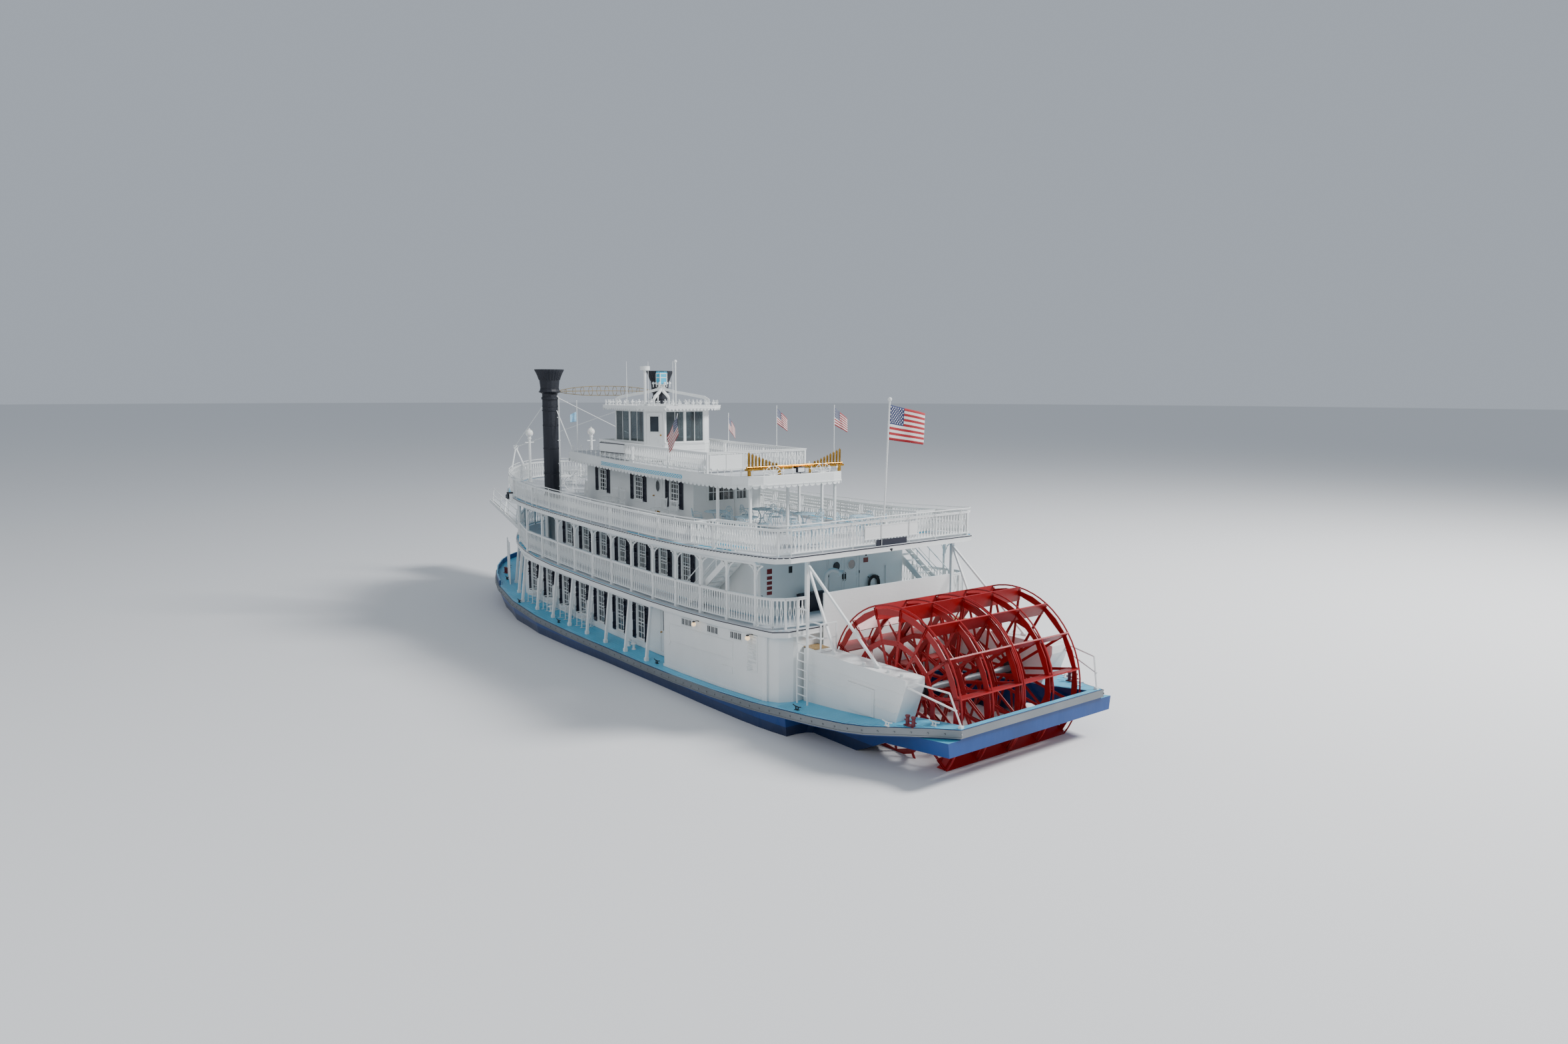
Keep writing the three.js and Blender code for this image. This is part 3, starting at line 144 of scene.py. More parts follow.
def mottled(name, roughness, scale, dark, pale, stretch=(1, 1, 1), metallic=0.0):
    """A new material whose colour runs in patches from one shade to another, and its shader node."""
    coat, shader = finish_coat(name, roughness, metallic)
    coat.node_tree.links.new(mottle(coat, scale, dark, pale, stretch), shader.inputs["Base Color"])
    return coat, shader


def paint(name, colour, roughness=0.4, fade=0.12, scale=0.6, metallic=0.0):
    """Gloss paint: its colour fades in patches, and brush marks lift its surface a little."""
    coat, shader = mottled(name, roughness, scale, *shades(colour, 1 - fade, 1 + fade * 0.6), metallic=metallic)
    relief(coat, shader, mottle(coat, 14, (0, 0, 0), (1, 1, 1), (0.35, 0.35, 1.0), 4), 0.15)
    return coat


def split_by(coat, socket, edge, below, above, soft=0.02):
    """Colours a surface by whether a value is under or over an edge."""
    nodes, links = coat.node_tree.nodes, coat.node_tree.links
    step = nodes.new("ShaderNodeMapRange")
    step.inputs["From Min"].default_value = edge - soft
    step.inputs["From Max"].default_value = edge + soft
    links.new(socket, step.inputs["Value"])
    mix = nodes.new("ShaderNodeMix")
    mix.data_type = "RGBA"
    links.new(step.outputs["Result"], mix.inputs["Factor"])
    links.new(below, mix.inputs[6])
    links.new(above, mix.inputs[7])
    return mix.outputs[2]


def dress(coat, *names):
    """Gives CAD nodes their finish."""
    for name in names:
        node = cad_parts[name]
        node.data.materials.clear()
        node.data.materials.append(coat)


DARK_BAND_TOP, LEVEL = 0.36, 0.9
hull_paint, hull_shader = finish_coat("hull_paint", 0.32)
nodes, links = hull_paint.node_tree.nodes, hull_paint.node_tree.links
place = nodes.new("ShaderNodeTexCoord")
height, facing = nodes.new("ShaderNodeSeparateXYZ"), nodes.new("ShaderNodeSeparateXYZ")
links.new(place.outputs["Object"], height.inputs["Vector"])
links.new(place.outputs["Normal"], facing.inputs["Vector"])
below = mottle(hull_paint, 0.5, *shades("07264f", 0.75, 1.5), (0.4, 0.4, 2.5))
topside = mottle(hull_paint, 0.7, *shades("083c7c", 0.85, 1.2))
shell = split_by(hull_paint, height.outputs["Z"], DARK_BAND_TOP, below, topside, 0.004)
walked = mottle(hull_paint, 0.9, *shades("5db9da", 0.85, 1.1))
links.new(split_by(hull_paint, facing.outputs["Z"], LEVEL, shell, walked), hull_shader.inputs["Base Color"])
relief(hull_paint, hull_shader, mottle(hull_paint, 1.3, (0, 0, 0), (1, 1, 1), (1, 1, 0.4), 3), 0.25, 0.03)

white = paint("white_gloss", "e9ebe9", 0.42, 0.05)
cyan = paint("deck_cyan", "35b3d6", 0.5, 0.12)
pale_deck = paint("deck_pale_grey", "c6c9cc", 0.55, 0.12, 0.9)
red = paint("wheel_red", "98060d", 0.38, 0.15)
grey = paint("rail_grey", "83888c", 0.45, 0.1, metallic=0.5)
black = paint("stack_black", "181c27", 0.56, 0.12)
navy = paint("shutter_navy", "14182c", 0.42, 0.1)
brass = paint("brass", "b58a3c", 0.25, 0.1, metallic=1.0)
dark_steel = paint("dark_steel", "34373b", 0.5, 0.15, metallic=0.6)
dress(white, *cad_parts)
dress(hull_paint, "hull")
dress(cyan, "deck_2", "deck_3")
dress(red, "wheel_port", "wheel_starboard", "wheel_bearing_port", "wheel_bearing_starboard")
dress(grey, "rub_rail", "wheel_shaft", "engine", "stage_bracket", "rudder_port", "rudder_starboard")
dress(black, "chimney_port", "chimney_starboard")
dress(brass, "calliope")

KNOTS = (-18.3, -16.0, -13.5, -11.0, -8.3, -5.8, -3.64, 1.0, 5.0, 9.0, 13.0, 18.0)


def curve(x):
    return 0.63 + 0.00471 * max(0.0, -3.64 - x) ** 2 + 0.00192 * max(0.0, x + 4.52) ** 2


def deck(x):
    """The main deck's height over the water, which all the upper decks follow."""
    for a, b in zip(KNOTS, KNOTS[1:]):
        if x <= b or b == KNOTS[-1]:
            t = (x - a) / (b - a)
            return curve(a) * (1 - t) + curve(b) * t


def with_knots(path, closed=False):
    """A path of x, y, height with a point added at each bend of the sheer."""
    ends = list(zip(path, path[1:] + path[:1])) if closed else list(zip(path, path[1:]))
    out = []
    for p, q in ends:
        inside = [k for k in KNOTS if (k - p[0]) * (k - q[0]) < 0 and min(abs(k - p[0]), abs(k - q[0])) > 0.05]
        out.append(p)
        for k in sorted(inside, key=lambda k: abs(k - p[0])):
            t = (k - p[0]) / (q[0] - p[0])
            out.append(tuple(a + (b - a) * t for a, b in zip(p, q)))
    return out if closed else out + [path[-1]]


def raised(path):
    """A path of x, y, height over the main deck, put at its height over the water."""
    return [(x, y, h + deck(x)) for x, y, h in path]


def circle(count, radius=1.0):
    """Points evenly round a circle."""
    return [(radius * math.cos(a), radius * math.sin(a)) for a in (2 * math.pi * k / count for k in range(count))]


def piece_of(name, mesh, body):
    """A mesh set in the scene, smooth between its sharp edges, with its body."""
    mesh.polygons.foreach_set("use_smooth", [True] * len(mesh.polygons))
    mesh.set_sharp_from_angle(angle=math.radians(35))
    piece = bpy.data.objects.new(name, mesh)
    bpy.context.scene.collection.objects.link(piece)
    if body:
        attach(piece, body)
    return piece


class Joinery:
    """Boards, bars, rods and turned work of one piece, each with its finish, before they become a mesh."""

    def __init__(self, follow=False):
        self.points, self.faces, self.finish, self.follow = [], [], [], follow

    def add(self, points, faces, finish):
        start = len(self.points)
        self.points += [tuple(p) for p in points]
        self.faces += [tuple(start + i for i in face) for face in faces]
        self.finish += finish
        return self

    def rings(self, rings, coat=0, closed=False):
        """Skins rings of as many points into one closed body, and turns its faces outwards."""
        size = len(rings[0])
        count = len(rings)
        faces = []
        for r in range(count if closed else count - 1):
            s = (r + 1) % count
            for i in range(size):
                j = (i + 1) % size
                faces.append((r * size + i, r * size + j, s * size + j, s * size + i))
        if not closed:
            faces.append(tuple(reversed(range(size))))
            faces.append(tuple((count - 1) * size + i for i in range(size)))
        points = [Vector(p) for ring in rings for p in ring]
        volume = 0.0
        for face in faces:
            first = points[face[0]] - points[0]
            for i in range(1, len(face) - 1):
                volume += first.dot((points[face[i]] - points[0]).cross(points[face[i + 1]] - points[0]))
        if volume < 0:
            faces = [face[::-1] for face in faces]
        return self.add(points, faces, [coat] * len(faces))

    def board(self, x, y, z, coat=0):
        """A board from its ranges. With follow, heights are over the main deck. No two are quite flush."""
        slip = 0.00015 * (len(self.finish) // 6 % 5)
        (x0, x1), (y0, y1), (z0, z1) = ((a + slip, b - slip) for a, b in (sorted(pair) for pair in (x, y, z)))
        ends = []
        for at in (x0, x1):
            base = deck(at) if self.follow else 0.0
            ends.append([(at, y0, z0 + base), (at, y1, z0 + base), (at, y1, z1 + base), (at, y0, z1 + base)])
        return self.rings(ends, coat)

    def run(self, path, width, depth, coat=0, closed=False, sides=4, across=0.0):
        """A length along a path, of four sides or round, kept upright and mitred where the path turns."""
        path = [Vector(p) for p in path]
        reach = math.sqrt(2) if sides == 4 else 1.0
        angles = [2 * math.pi * (k + 0.5) / sides for k in range(sides)]
        section = [(math.cos(a) * reach * width / 2 + across, math.sin(a) * reach * depth / 2) for a in angles]
        rings = []
        last_side = Vector((0, 1, 0))
        for i, p in enumerate(path):
            before = path[i - 1] if i or closed else None
            after = path[(i + 1) % len(path)] if i < len(path) - 1 or closed else None
            into = (p - before).normalized() if before is not None else (after - p).normalized()
            out = (after - p).normalized() if after is not None else into
            along = (into + out).normalized() if (into + out).length > 1e-6 else out
            side = Vector((0, 0, 1)).cross(along)
            if side.length < 0.05:
                side = last_side.copy()
            side.normalize()
            if i and not closed and side.dot(last_side) < 0:
                side.negate()
            last_side = side
            top = along.cross(side).normalized()
            flat_in = Vector((0, 0, 1)).cross(into)
            miter = 1.0
            if flat_in.length > 0.05:
                miter = 1 / max(0.4, abs(side.dot(flat_in.normalized())))
            rings.append([p + side * u * miter + top * v for u, v in section])
        return self.rings(rings, coat, closed)

    def turned(self, profile, centre, sides=12, coat=0, axis=(0, 0, 1)):
        """Lathe work: rows of radius, height from foot to head, about an axis through a centre."""
        axis = Vector(axis).normalized()
        side = axis.orthogonal().normalized()
        top = axis.cross(side)
        return self.rings([[Vector(centre) + axis * h + (side * u + top * v) * max(r, 1e-4)
                            for u, v in circle(sides)] for r, h in profile], coat)

    def rod(self, p, q, radius, sides=8, coat=0):
        """A straight round bar."""
        along = Vector(q) - Vector(p)
        return self.turned([(radius, 0), (radius, along.length)], p, sides, coat, along)

    def plate(self, outline, thickness, origin=(0, 0, 0), coat=0, along=1):
        """A sawn plate that faces across the boat: its outline is drawn along X and up, from its origin."""
        x, y, z = origin
        return self.rings([[(x + along * u, y + way * thickness / 2, z + v) for u, v in outline]
                           for way in (along, -along)], coat)

    def holed(self, outer, inner, thickness, origin=(0, 0, 0)):
        """Such a plate between an outer and an inner outline of as many points."""
        x, y, z = origin
        return self.rings([[(x + u, y + way * thickness / 2, z + v)
                            for (u, v), way in ((i, 1), (i, -1), (o, -1), (o, 1))]
                           for o, i in zip(outer, inner)], closed=True)

    def placed(self, work, x, y, z, turn=0.0):
        """Another piece's work set down at a place and turned."""
        c, s = math.cos(turn), math.sin(turn)
        return self.add([(x + c * u - s * v, y + s * u + c * v, z + w) for u, v, w in work.points], work.faces,
                        work.finish)

    def mirrored(self):
        """The same work again on the other side of the centreline."""
        return self.add([(x, -y, z) for x, y, z in self.points], [face[::-1] for face in self.faces],
                        list(self.finish))

    def moved_across(self):
        """The same work on the other side of the centreline only."""
        self.points = [(x, -y, z) for x, y, z in self.points]
        self.faces = [face[::-1] for face in self.faces]
        return self

    def make(self, name, coats, body="boat", slot="white_paint", replaced=()):
        """The finished piece, riding on its body."""
        mesh = bpy.data.meshes.new(name)
        mesh.from_pydata(self.points, [], self.faces)
        for coat in coats:
            mesh.materials.append(coat)
        mesh.polygons.foreach_set("material_index", self.finish)
        mesh.validate()
        piece = piece_of(name, mesh, body)
        if replaced:
            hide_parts(*replaced)
        return piece


def repeater(name, inputs, kinds, wires):
    """Geometry Nodes that repeat one shape. The nodes and wires given say where the copies stand and turn."""
    tree = bpy.data.node_groups.new(name, "GeometryNodeTree")
    for label, kind in (("Base", "Geometry"), ("Shape", "Object"), ("Finish", "Material"), *inputs):
        tree.interface.new_socket(label, in_out="INPUT", socket_type="NodeSocket" + kind)
    tree.interface.new_socket("Row", in_out="OUTPUT", socket_type="NodeSocketGeometry")
    nodes = {}
    for key, kind, settings in (("start", "NodeGroupInput", {}), ("end", "NodeGroupOutput", {}),
                                ("shape", "GeometryNodeObjectInfo", {}), *kinds,
                                ("copies", "GeometryNodeInstanceOnPoints", {}),
                                ("solid", "GeometryNodeRealizeInstances", {}),
                                ("coat", "GeometryNodeSetMaterial", {})):
        nodes[key] = tree.nodes.new(kind)
        for setting, value in settings.items():
            setattr(nodes[key], setting, value)
    nodes["shape"].inputs["As Instance"].default_value = True
    for here, outlet, there, inlet in (
            *wires, ("start", "Shape", "shape", "Object"), ("shape", "Geometry", "copies", "Instance"),
            ("copies", "Instances", "solid", "Geometry"), ("solid", "Geometry", "coat", "Geometry"),
            ("start", "Finish", "coat", "Material"), ("coat", "Geometry", "end", "Row")):
        tree.links.new(nodes[here].outputs[outlet], nodes[there].inputs[inlet])
    return tree, nodes


def repeated(name, tree, base, shape, inputs, body):
    """One piece made by such nodes from a base mesh and a shape."""
    pattern = bpy.data.meshes.new(name + "_shape")
    pattern.from_pydata(shape.points, [], shape.faces)
    one = bpy.data.objects.new(name + "_shape", pattern)
    carrier = bpy.data.objects.new(name + "_path", base)
    for helper in (one, carrier):
        bpy.context.scene.collection.objects.link(helper)
    repeat = carrier.modifiers.new("repeat", "NODES")
    repeat.node_group = tree
    sockets = {s.name: s.identifier for s in tree.interface.items_tree if s.in_out == "INPUT"}
    for label, value in {"Shape": one, **inputs}.items():
        repeat[sockets[label]] = value
    mesh = bpy.data.meshes.new_from_object(carrier.evaluated_get(bpy.context.evaluated_depsgraph_get()))
    mesh.name = name
    carrier.modifiers.clear()
    for helper in (one, carrier):
        bpy.data.objects.remove(helper)
    return piece_of(name, mesh, body)


# Each copy stands upright at an even space along the path, and turns about Z to follow it.
along_path, nodes = repeater("row_along_path", (("Spacing", "Float"),), (
    ("line", "GeometryNodeMeshToCurve", {}), ("even", "GeometryNodeResampleCurve", {"mode": "LENGTH"}),
    ("tangent", "GeometryNodeInputTangent", {}), ("flatten", "ShaderNodeVectorMath", {"operation": "MULTIPLY"}),
    ("turn", "FunctionNodeAlignRotationToVector", {"axis": "X", "pivot_axis": "Z"})), (
    ("start", "Base", "line", "Mesh"), ("line", "Curve", "even", "Curve"), ("start", "Spacing", "even", "Length"),
    ("tangent", "Tangent", "flatten", 0), ("flatten", 0, "turn", "Vector"), ("even", "Curve", "copies", "Points"),
    ("turn", "Rotation", "copies", "Rotation")))
nodes["flatten"].inputs[1].default_value = (1, 1, 0)


def row(name, paths, shape, spacing, coat):
    """One piece made of a shape repeated along paths. The shape faces along X and stands on its origin."""
    points, edges = [], []
    for path in paths:
        start = len(points)
        points += [tuple(p) for p in path]
        edges += [(start + i, start + i + 1) for i in range(len(path) - 1)]
    line = bpy.data.meshes.new(name + "_path")
    line.from_pydata(points, edges, [])
    return repeated(name, along_path, line, shape, {"Spacing": spacing, "Finish": coat}, "boat")


PLAN = ((-18.3, 3.275), (-17.49, 3.61), (-16.61, 4.06), (-15.66, 4.59), (-14.9, 4.79), (-13.9, 4.86),
        (-12.3, 4.95), (-10.6, 5.06), (-8.9, 5.09), (-5.2, 5.11), (-3.64, 5.13), (-0.5, 5.2),
        (2.6, 5.33), (5.7, 5.375), (8.8, 5.162), (11.9, 4.576), (13.5, 4.079), (15.0, 3.432),
        (16.2, 2.703), (17.0, 2.01), (17.5, 1.372), (17.8, 0.737))


def both_sides(rows):
    """A closed outline from rows of x, half-width, that starts aft to port and ends aft to starboard."""
    return [*rows, *((x, -y) for x, y in reversed(rows))]


edge = [(x, y + 0.004, -0.135) for x, y in both_sides(PLAN)]
edges = [p for p in edge if p[1] > 0], [p for p in edge if p[1] < 0]
bolt = Joinery().turned([(0.028, 0), (0.028, 0.012), (0.02, 0.022), (0.0, 0.024)], (0, 0, 0), 6, 0, (0, 1, 0))
row("rub_rail_bolts", [raised(with_knots(line)) for line in edges], bolt, 0.5, grey)
rail_lips = Joinery()
for height in (-0.03, -0.235):
    for line in edges:
        rail_lips.run(raised(with_knots([(x, y, height) for x, y, _ in line])), 0.03, 0.035)
rail_lips.make("rub_rail_lips", [grey], "boat", "rail_grey")

# Mooring gear on the main deck: horned cleats and double bitts of welded steel, painted black, white or dark
# red. Each stands on a plate that is bolted through the deck.
gear = Joinery()


def cleat(x, y, coat):
    base = deck(x)
    gear.board((x - 0.09, x + 0.09), (y - 0.045, y + 0.045), (base, base + 0.02), coat)
    for dx in (-0.05, 0.05):
        gear.rod((x + dx, y, base + 0.01), (x + dx * 1.2, y, base + 0.11), 0.022, 8, coat)
    gear.run([(x - 0.2, y, base + 0.145), (x - 0.1, y, base + 0.12), (x + 0.1, y, base + 0.12),
              (x + 0.2, y, base + 0.145)], 0.035, 0.035, coat, sides=8)


def bitts(x, y, coat):
    base = deck(x)
    gear.board((x - 0.2, x + 0.2), (y - 0.1, y + 0.1), (base, base + 0.025), coat)
    for dx in (-0.12, 0.12):
        gear.turned([(0.06, 0), (0.055, 0.24), (0.075, 0.26), (0.075, 0.3), (0.0, 0.31)], (x + dx, y, base), 14,
                    coat)
    gear.rod((x - 0.24, y, base + 0.14), (x + 0.24, y, base + 0.14), 0.022, 8, coat)


for x, y, coat in ((-12.6, 4.65, 0), (-4.0, 4.7, 0), (4.0, 5.0, 0), (8.3, 5.0, 0), (-17.3, 3.35, 1),
                   (-16.2, 4.15, 1), (12.9, 3.7, 0), (15.2, 2.6, 0)):
    for side in (1, -1):
        cleat(x, side * y, coat)
for x, y in ((-16.75, 3.75), (14.2, 3.2), (16.4, 1.4)):
    for side in (1, -1):
        bitts(x, side * y, 2)
gear.make("mooring_gear", [black, white, paint("bitt_red", "6a2530", 0.5, 0.15)], "boat", "rail_grey")

# Upper decks: each has a white fascia round its edge, a navy line over it and a rounded nosing. The navy line
# is painted shade: the deck's blue edge as it looks in the shade under the foot rail. Tongued deck boards run
# fore and aft with seams between them, painted pale grey, and blue on the main deck.
SECOND, THIRD, ROOF = 2.4, 4.8, 7.17


def deck_rows(back, half, centre, reach, beam, steps=9):
    angles = [i / steps * math.pi / 2 for i in range(steps)]
    bow = [(centre + reach * math.sin(a), beam * math.cos(a)) for a in angles]
    return [(back, half - 0.35), (back + 0.35, half), *bow, (centre + reach * 0.996, beam * 0.09)]


def inset(rows, by):
    ends = {0: by, len(rows) - 2: -by, len(rows) - 1: -by}
    return [(x + ends.get(i, 0.0), max(y - by, 0.06)) for i, (x, y) in enumerate(rows)]


def half_at(rows, x):
    for (a, y0), (b, y1) in zip(rows, rows[1:]):
        if a <= x <= b:
            return y0 + (y1 - y0) * (x - a) / (b - a)
    return 0.0


PLAN_2 = deck_rows(-11.75, 4.7, 5.2, 10.0, 4.76)
PLAN_3 = deck_rows(-11.69, 4.56, 7.15, 8.16, 4.8)
ROOF_PLAN = [(-6.8, 1.7), (-6.6, 2.25), (-6.05, 2.6), (7.6, 2.6)]


def ring_of(rows, height):
    """A closed path round a deck at a height over the main deck."""
    return raised(with_knots([(x, y, height) for x, y in both_sides(rows)], closed=True))


fascias = Joinery()
for rows, top in ((PLAN_2, SECOND), (PLAN_3, THIRD)):
    fascias.run(ring_of(rows, top - 0.115), 0.024, 0.15, 0, True, across=0.012)
    fascias.run(ring_of(rows, top - 0.19), 0.04, 0.035, 0, True, across=0.014)
    # The navy line: painted shade along the deck's edge under the foot rail.
    fascias.run(ring_of(rows, top - 0.022), 0.03, 0.032, 1, True, across=0.016)
    fascias.run(ring_of(rows, top + 0.006), 0.05, 0.02, 2, True, across=0.004)
fascias.make("deck_fascias", [white, navy, pale_deck])
bead = Joinery().turned([(0.0, -0.036), (0.026, -0.026), (0.036, 0.0), (0.026, 0.026), (0.0, 0.036)], (0, 0, 0), 8)
loop = ring_of(PLAN_3, THIRD - 0.052)
outward = [(x, y + math.copysign(0.045, y), z) for x, y, z in loop]
row("nosing_beads", [outward[:len(outward) // 2], outward[len(outward) // 2:]], bead, 0.2, white)


def planking(name, rows, height, coat, holes=(), width=0.145, lengths=5.6):
    """Deck boards inside a plan, cut round its holes, in staggered lengths."""
    boards = Joinery()
    reach = max(y for _, y in rows)
    first, last = rows[0][0], rows[-1][0]
    stations = [first + 0.05 * i for i in range(int((last - first) / 0.05))]
    count = int(reach / width) + 1
    for k in range(-count, count):
        y0, y1 = k * width + 0.004, (k + 1) * width - 0.004
        furthest = max(abs(y0), abs(y1))
        inside = [x for x in stations if half_at(rows, x) > furthest + 0.02]
        if len(inside) < 8:
            continue
        spans = [(inside[0] + 0.02, inside[-1])]
        for (hx0, hx1), (hy0, hy1) in holes:
            if y1 > hy0 and y0 < hy1:
                spans = [(a, b) for s0, s1 in spans for a, b in ((s0, min(s1, hx0)), (max(s0, hx1), s1))
                         if b - a > 0.1]
        for s0, s1 in spans:
            cuts = [s0]
            at = s0 + 1.2 + (k * 2.3) % lengths
            while at < s1 - 0.5:
                cuts.append(at)
                at += lengths
            cuts.append(s1)
            for a, b in zip(cuts, cuts[1:]):
                knots = [a, *[q for q in KNOTS if a + 0.01 < q < b - 0.013], b - 0.003]
                boards.rings([[(x, y0, deck(x) + height), (x, y1, deck(x) + height),
                               (x, y1, deck(x) + height + 0.008),
                               (x, y0, deck(x) + height + 0.008)] for x in knots])
    return boards.make(name, [coat], "boat", "deck_cyan")


WELLS = (((-8.65, -6.3), (3.45, 4.35)), ((-9.6, -7.25), (-4.35, -3.45)))
planking("third_deck_boards", inset(PLAN_3, 0.03), THIRD, pale_deck, WELLS)
planking("second_deck_boards", inset(PLAN_2, 0.03), SECOND, pale_deck, (((-8.95, 8.72), (-3.42, 3.42)),))
planking("roof_boards", [(x + 0.03 if i == 0 else x, y - 0.03) for i, (x, y) in enumerate(ROOF_PLAN)], ROOF,
         pale_deck, (((1.3, 5.32), (-1.7, 1.7)),))
main_paint = paint("main_deck_blue", "5db9da", 0.45, 0.12, 0.8)
planking("main_deck_boards", [(x, y - 0.1) for x, y in PLAN if -18.2 < x < 17.7], 0.0, main_paint,
         (((-18.3, -11.9), (-2.88, 2.88)), ((-11.7, 10.6), (-3.96, 3.96)), ((-11.7, -4.48), (-4.7, 4.7)),
          ((-16.4, -11.78), (-3.75, 3.75)), ((10.95, 11.45), (-1.4, 1.4))))

# Balustrades of white painted timber: flat-sawn balusters with an oval piercing stand between a foot rail and
# a handrail. On the third deck a pipe rail runs over the handrail, on thin stanchions bolted to the nosing.


def baluster(height, width):
    """One pierced baluster, standing on its origin and facing out along Y."""
    sawn = Joinery()
    thickness = 0.022
    bulge, stem = width / 2, width * 0.24
    low, high = height * 0.24, height * 0.8
    middle, half = (low + high) / 2, (high - low) / 2
    ring = [(v, u) for u, v in circle(10)]
    sawn.holed([(bulge * u, middle + half * v) for u, v in ring],
               [(bulge * 0.45 * u, middle + half * 0.62 * v) for u, v in ring], thickness)
    for half_outline in (((bulge * 0.8, 0), (bulge * 0.8, height * 0.07), (stem, height * 0.14),
                          (stem, low + half * 0.1)),
                         ((stem, high - half * 0.1), (stem, height * 0.93), (bulge * 0.7, height))):
        sawn.plate([*half_outline, *((-u, v) for u, v in reversed(half_outline))], thickness * 0.96)
    return sawn


def well_path(end, other, side, height):
    return raised(with_knots([(end, 4.5 * side, height), (end, 3.39 * side, height),
                              (other, 3.39 * side, height)]))


third_rail = ring_of(inset(PLAN_3, 0.11), THIRD + 0.13)
wells = [well_path(-6.24, -8.65, 1, THIRD + 0.13), well_path(-9.66, -7.25, -1, THIRD + 0.13)]
row("third_deck_balusters", [third_rail + third_rail[:1], *wells], baluster(0.705, 0.105), 0.15, white)
pipes = Joinery()
pipes.run(ring_of(inset(PLAN_3, 0.055), THIRD + 1.01), 0.042, 0.042, 0, True, sides=8)
pipes.make("third_deck_pipe_rail", [white])
stanchion = Joinery().rod((0, 0, 0), (0, 0, 1.13), 0.013, 6)
outer_line = ring_of(inset(PLAN_3, 0.03), THIRD - 0.12)
row("third_deck_stanchions", [outer_line + outer_line[:1]], stanchion, 1.3, white)

FIRST_COLUMN, BAY = 8.3, 1.677


def bow_column(x):
    return min(half_at(PLAN_3, x) - 0.33, half_at(PLAN_2, x) - 0.12)


columns_2 = [(FIRST_COLUMN - BAY * (11 - i), 4.47) for i in range(12)]
columns_2 += [(x, bow_column(x)) for x in (10.56, 12.3, 13.9)]
corner_2 = [(-11.54, 3.46), (-11.54, 3.8), (-11.38, 4.18), (-10.95, 4.4)]
line_2 = corner_2 + columns_2 + [(14.55, 1.35), (14.87, 0.0)]
foot_rail = Joinery()
paths_2 = []
for side in (1, -1):
    line = with_knots([(x, y * side, SECOND + 0.11) for x, y in line_2])
    foot_rail.run(raised(line), 0.055, 0.05)
    foot_rail.run(raised([(x, y, h + 0.91) for x, y, h in line]), 0.1, 0.022)
    paths_2.append(raised([(x, y, h + 0.02) for x, y, h in line]))
foot_rail.make("second_deck_rails", [white])
row("second_deck_balusters", paths_2, baluster(0.815, 0.105), 0.15, white)

roof_line = [(4.7, 1.7), (4.7, 2.4), (-4.09, 2.4), (-4.09, -2.4), (4.7, -2.4), (4.7, -1.7)]
roof_line = with_knots([(x, y, ROOF) for x, y in roof_line])
row("roof_balusters", [raised([(x, y, h + 0.13) for x, y, h in roof_line])], baluster(0.615, 0.1), 0.145, white)
caps = Joinery()
caps.run(raised([(x, y, h + 0.815) for x, y, h in roof_line]), 0.12, 0.03)
caps.run(ring_of(inset(PLAN_3, 0.11), THIRD + 0.895), 0.11, 0.02, 0, True)
caps.make("rail_caps", [white])

# Column brackets: sawn fretwork scrolls in the corner between each column and the beam over it, with square
# moulded capitals and plinths, all painted timber.


def scroll(work, x, y, h, along):
    """A fretwork bracket that leaves a column at x, y under a height, along a direction in plan."""
    dx, dy = along
    at = lambda u, v: (x + dx * u, y + dy * u, deck(x + dx * u) + h - v)
    work.run([at(0.05 + 0.33 * (1 - math.cos(a)), 0.47 - 0.42 * math.sin(a)) for a in
              (math.pi / 2 * k / 6 for k in range(7))], 0.024, 0.03)
    for cu, cv, r in ((0.13, 0.12, 0.075), (0.25, 0.07, 0.045), (0.07, 0.27, 0.045)):
        work.run([at(cu + u, cv + v) for u, v in circle(8, r)], 0.022, 0.018, closed=True)
    work.run([at(0.05, 0.02), at(0.4, 0.02)], 0.022, 0.03)
    work.run([at(0.04, 0.0), at(0.045, 0.5)], 0.022, 0.03)


fretwork = Joinery()
HEAD_2 = THIRD - 0.19 - 0.13
for i, (x, y) in enumerate(columns_2):
    before = columns_2[i - 1] if i else (x - 1, y)
    after = columns_2[i + 1] if i + 1 < len(columns_2) else (x + 1, y - 0.8)
    for there in (before, after):
        d = Vector((there[0] - x, there[1] - y)).normalized()
        scroll(fretwork, x, y, HEAD_2, tuple(d))
    base = deck(x)
    for low, high, size in ((SECOND, SECOND + 0.16, 0.07), (SECOND + 0.16, SECOND + 0.19, 0.058),
                            (HEAD_2 - 0.02, HEAD_2 + 0.03, 0.066), (HEAD_2 - 0.55, HEAD_2 - 0.52, 0.06)):
        fretwork.board((x - size, x + size), (y - size, y + size), (low + base, high + base))
columns_1 = [(FIRST_COLUMN - BAY * (7 - i), 4.6) for i in range(8)]
columns_1 += [(x, bow_column(x)) for x in (10.05, 12.0, 13.9)]
HEAD_1 = SECOND - 0.19 - 0.13
for i, (x, y) in enumerate(columns_1):
    base = deck(x)
    fretwork.board((x - 0.062, x + 0.062), (y - 0.062, y + 0.062), (HEAD_1 - 0.02 + base, HEAD_1 + 0.03 + base))
    lean = 0.24  # the foot stands this far outboard of the head
    fretwork.board((x - 0.075, x + 0.075), (y + lean - 0.075, y + lean + 0.06), (base, base + 0.14))
fretwork.mirrored().make("column_brackets", [white])

# Windows: painted pine sashes with glazing bars and glass, set in moulded casings, with louvred navy
# shutters beside them. On the main deck each has a sawn, scalloped head over it.
glass, glass_shader = mottled("window_glass", 0.06, 0.8, rgb("10161d"), rgb("2c3740"))
glass_shader.inputs["Coat Weight"].default_value = 0.6


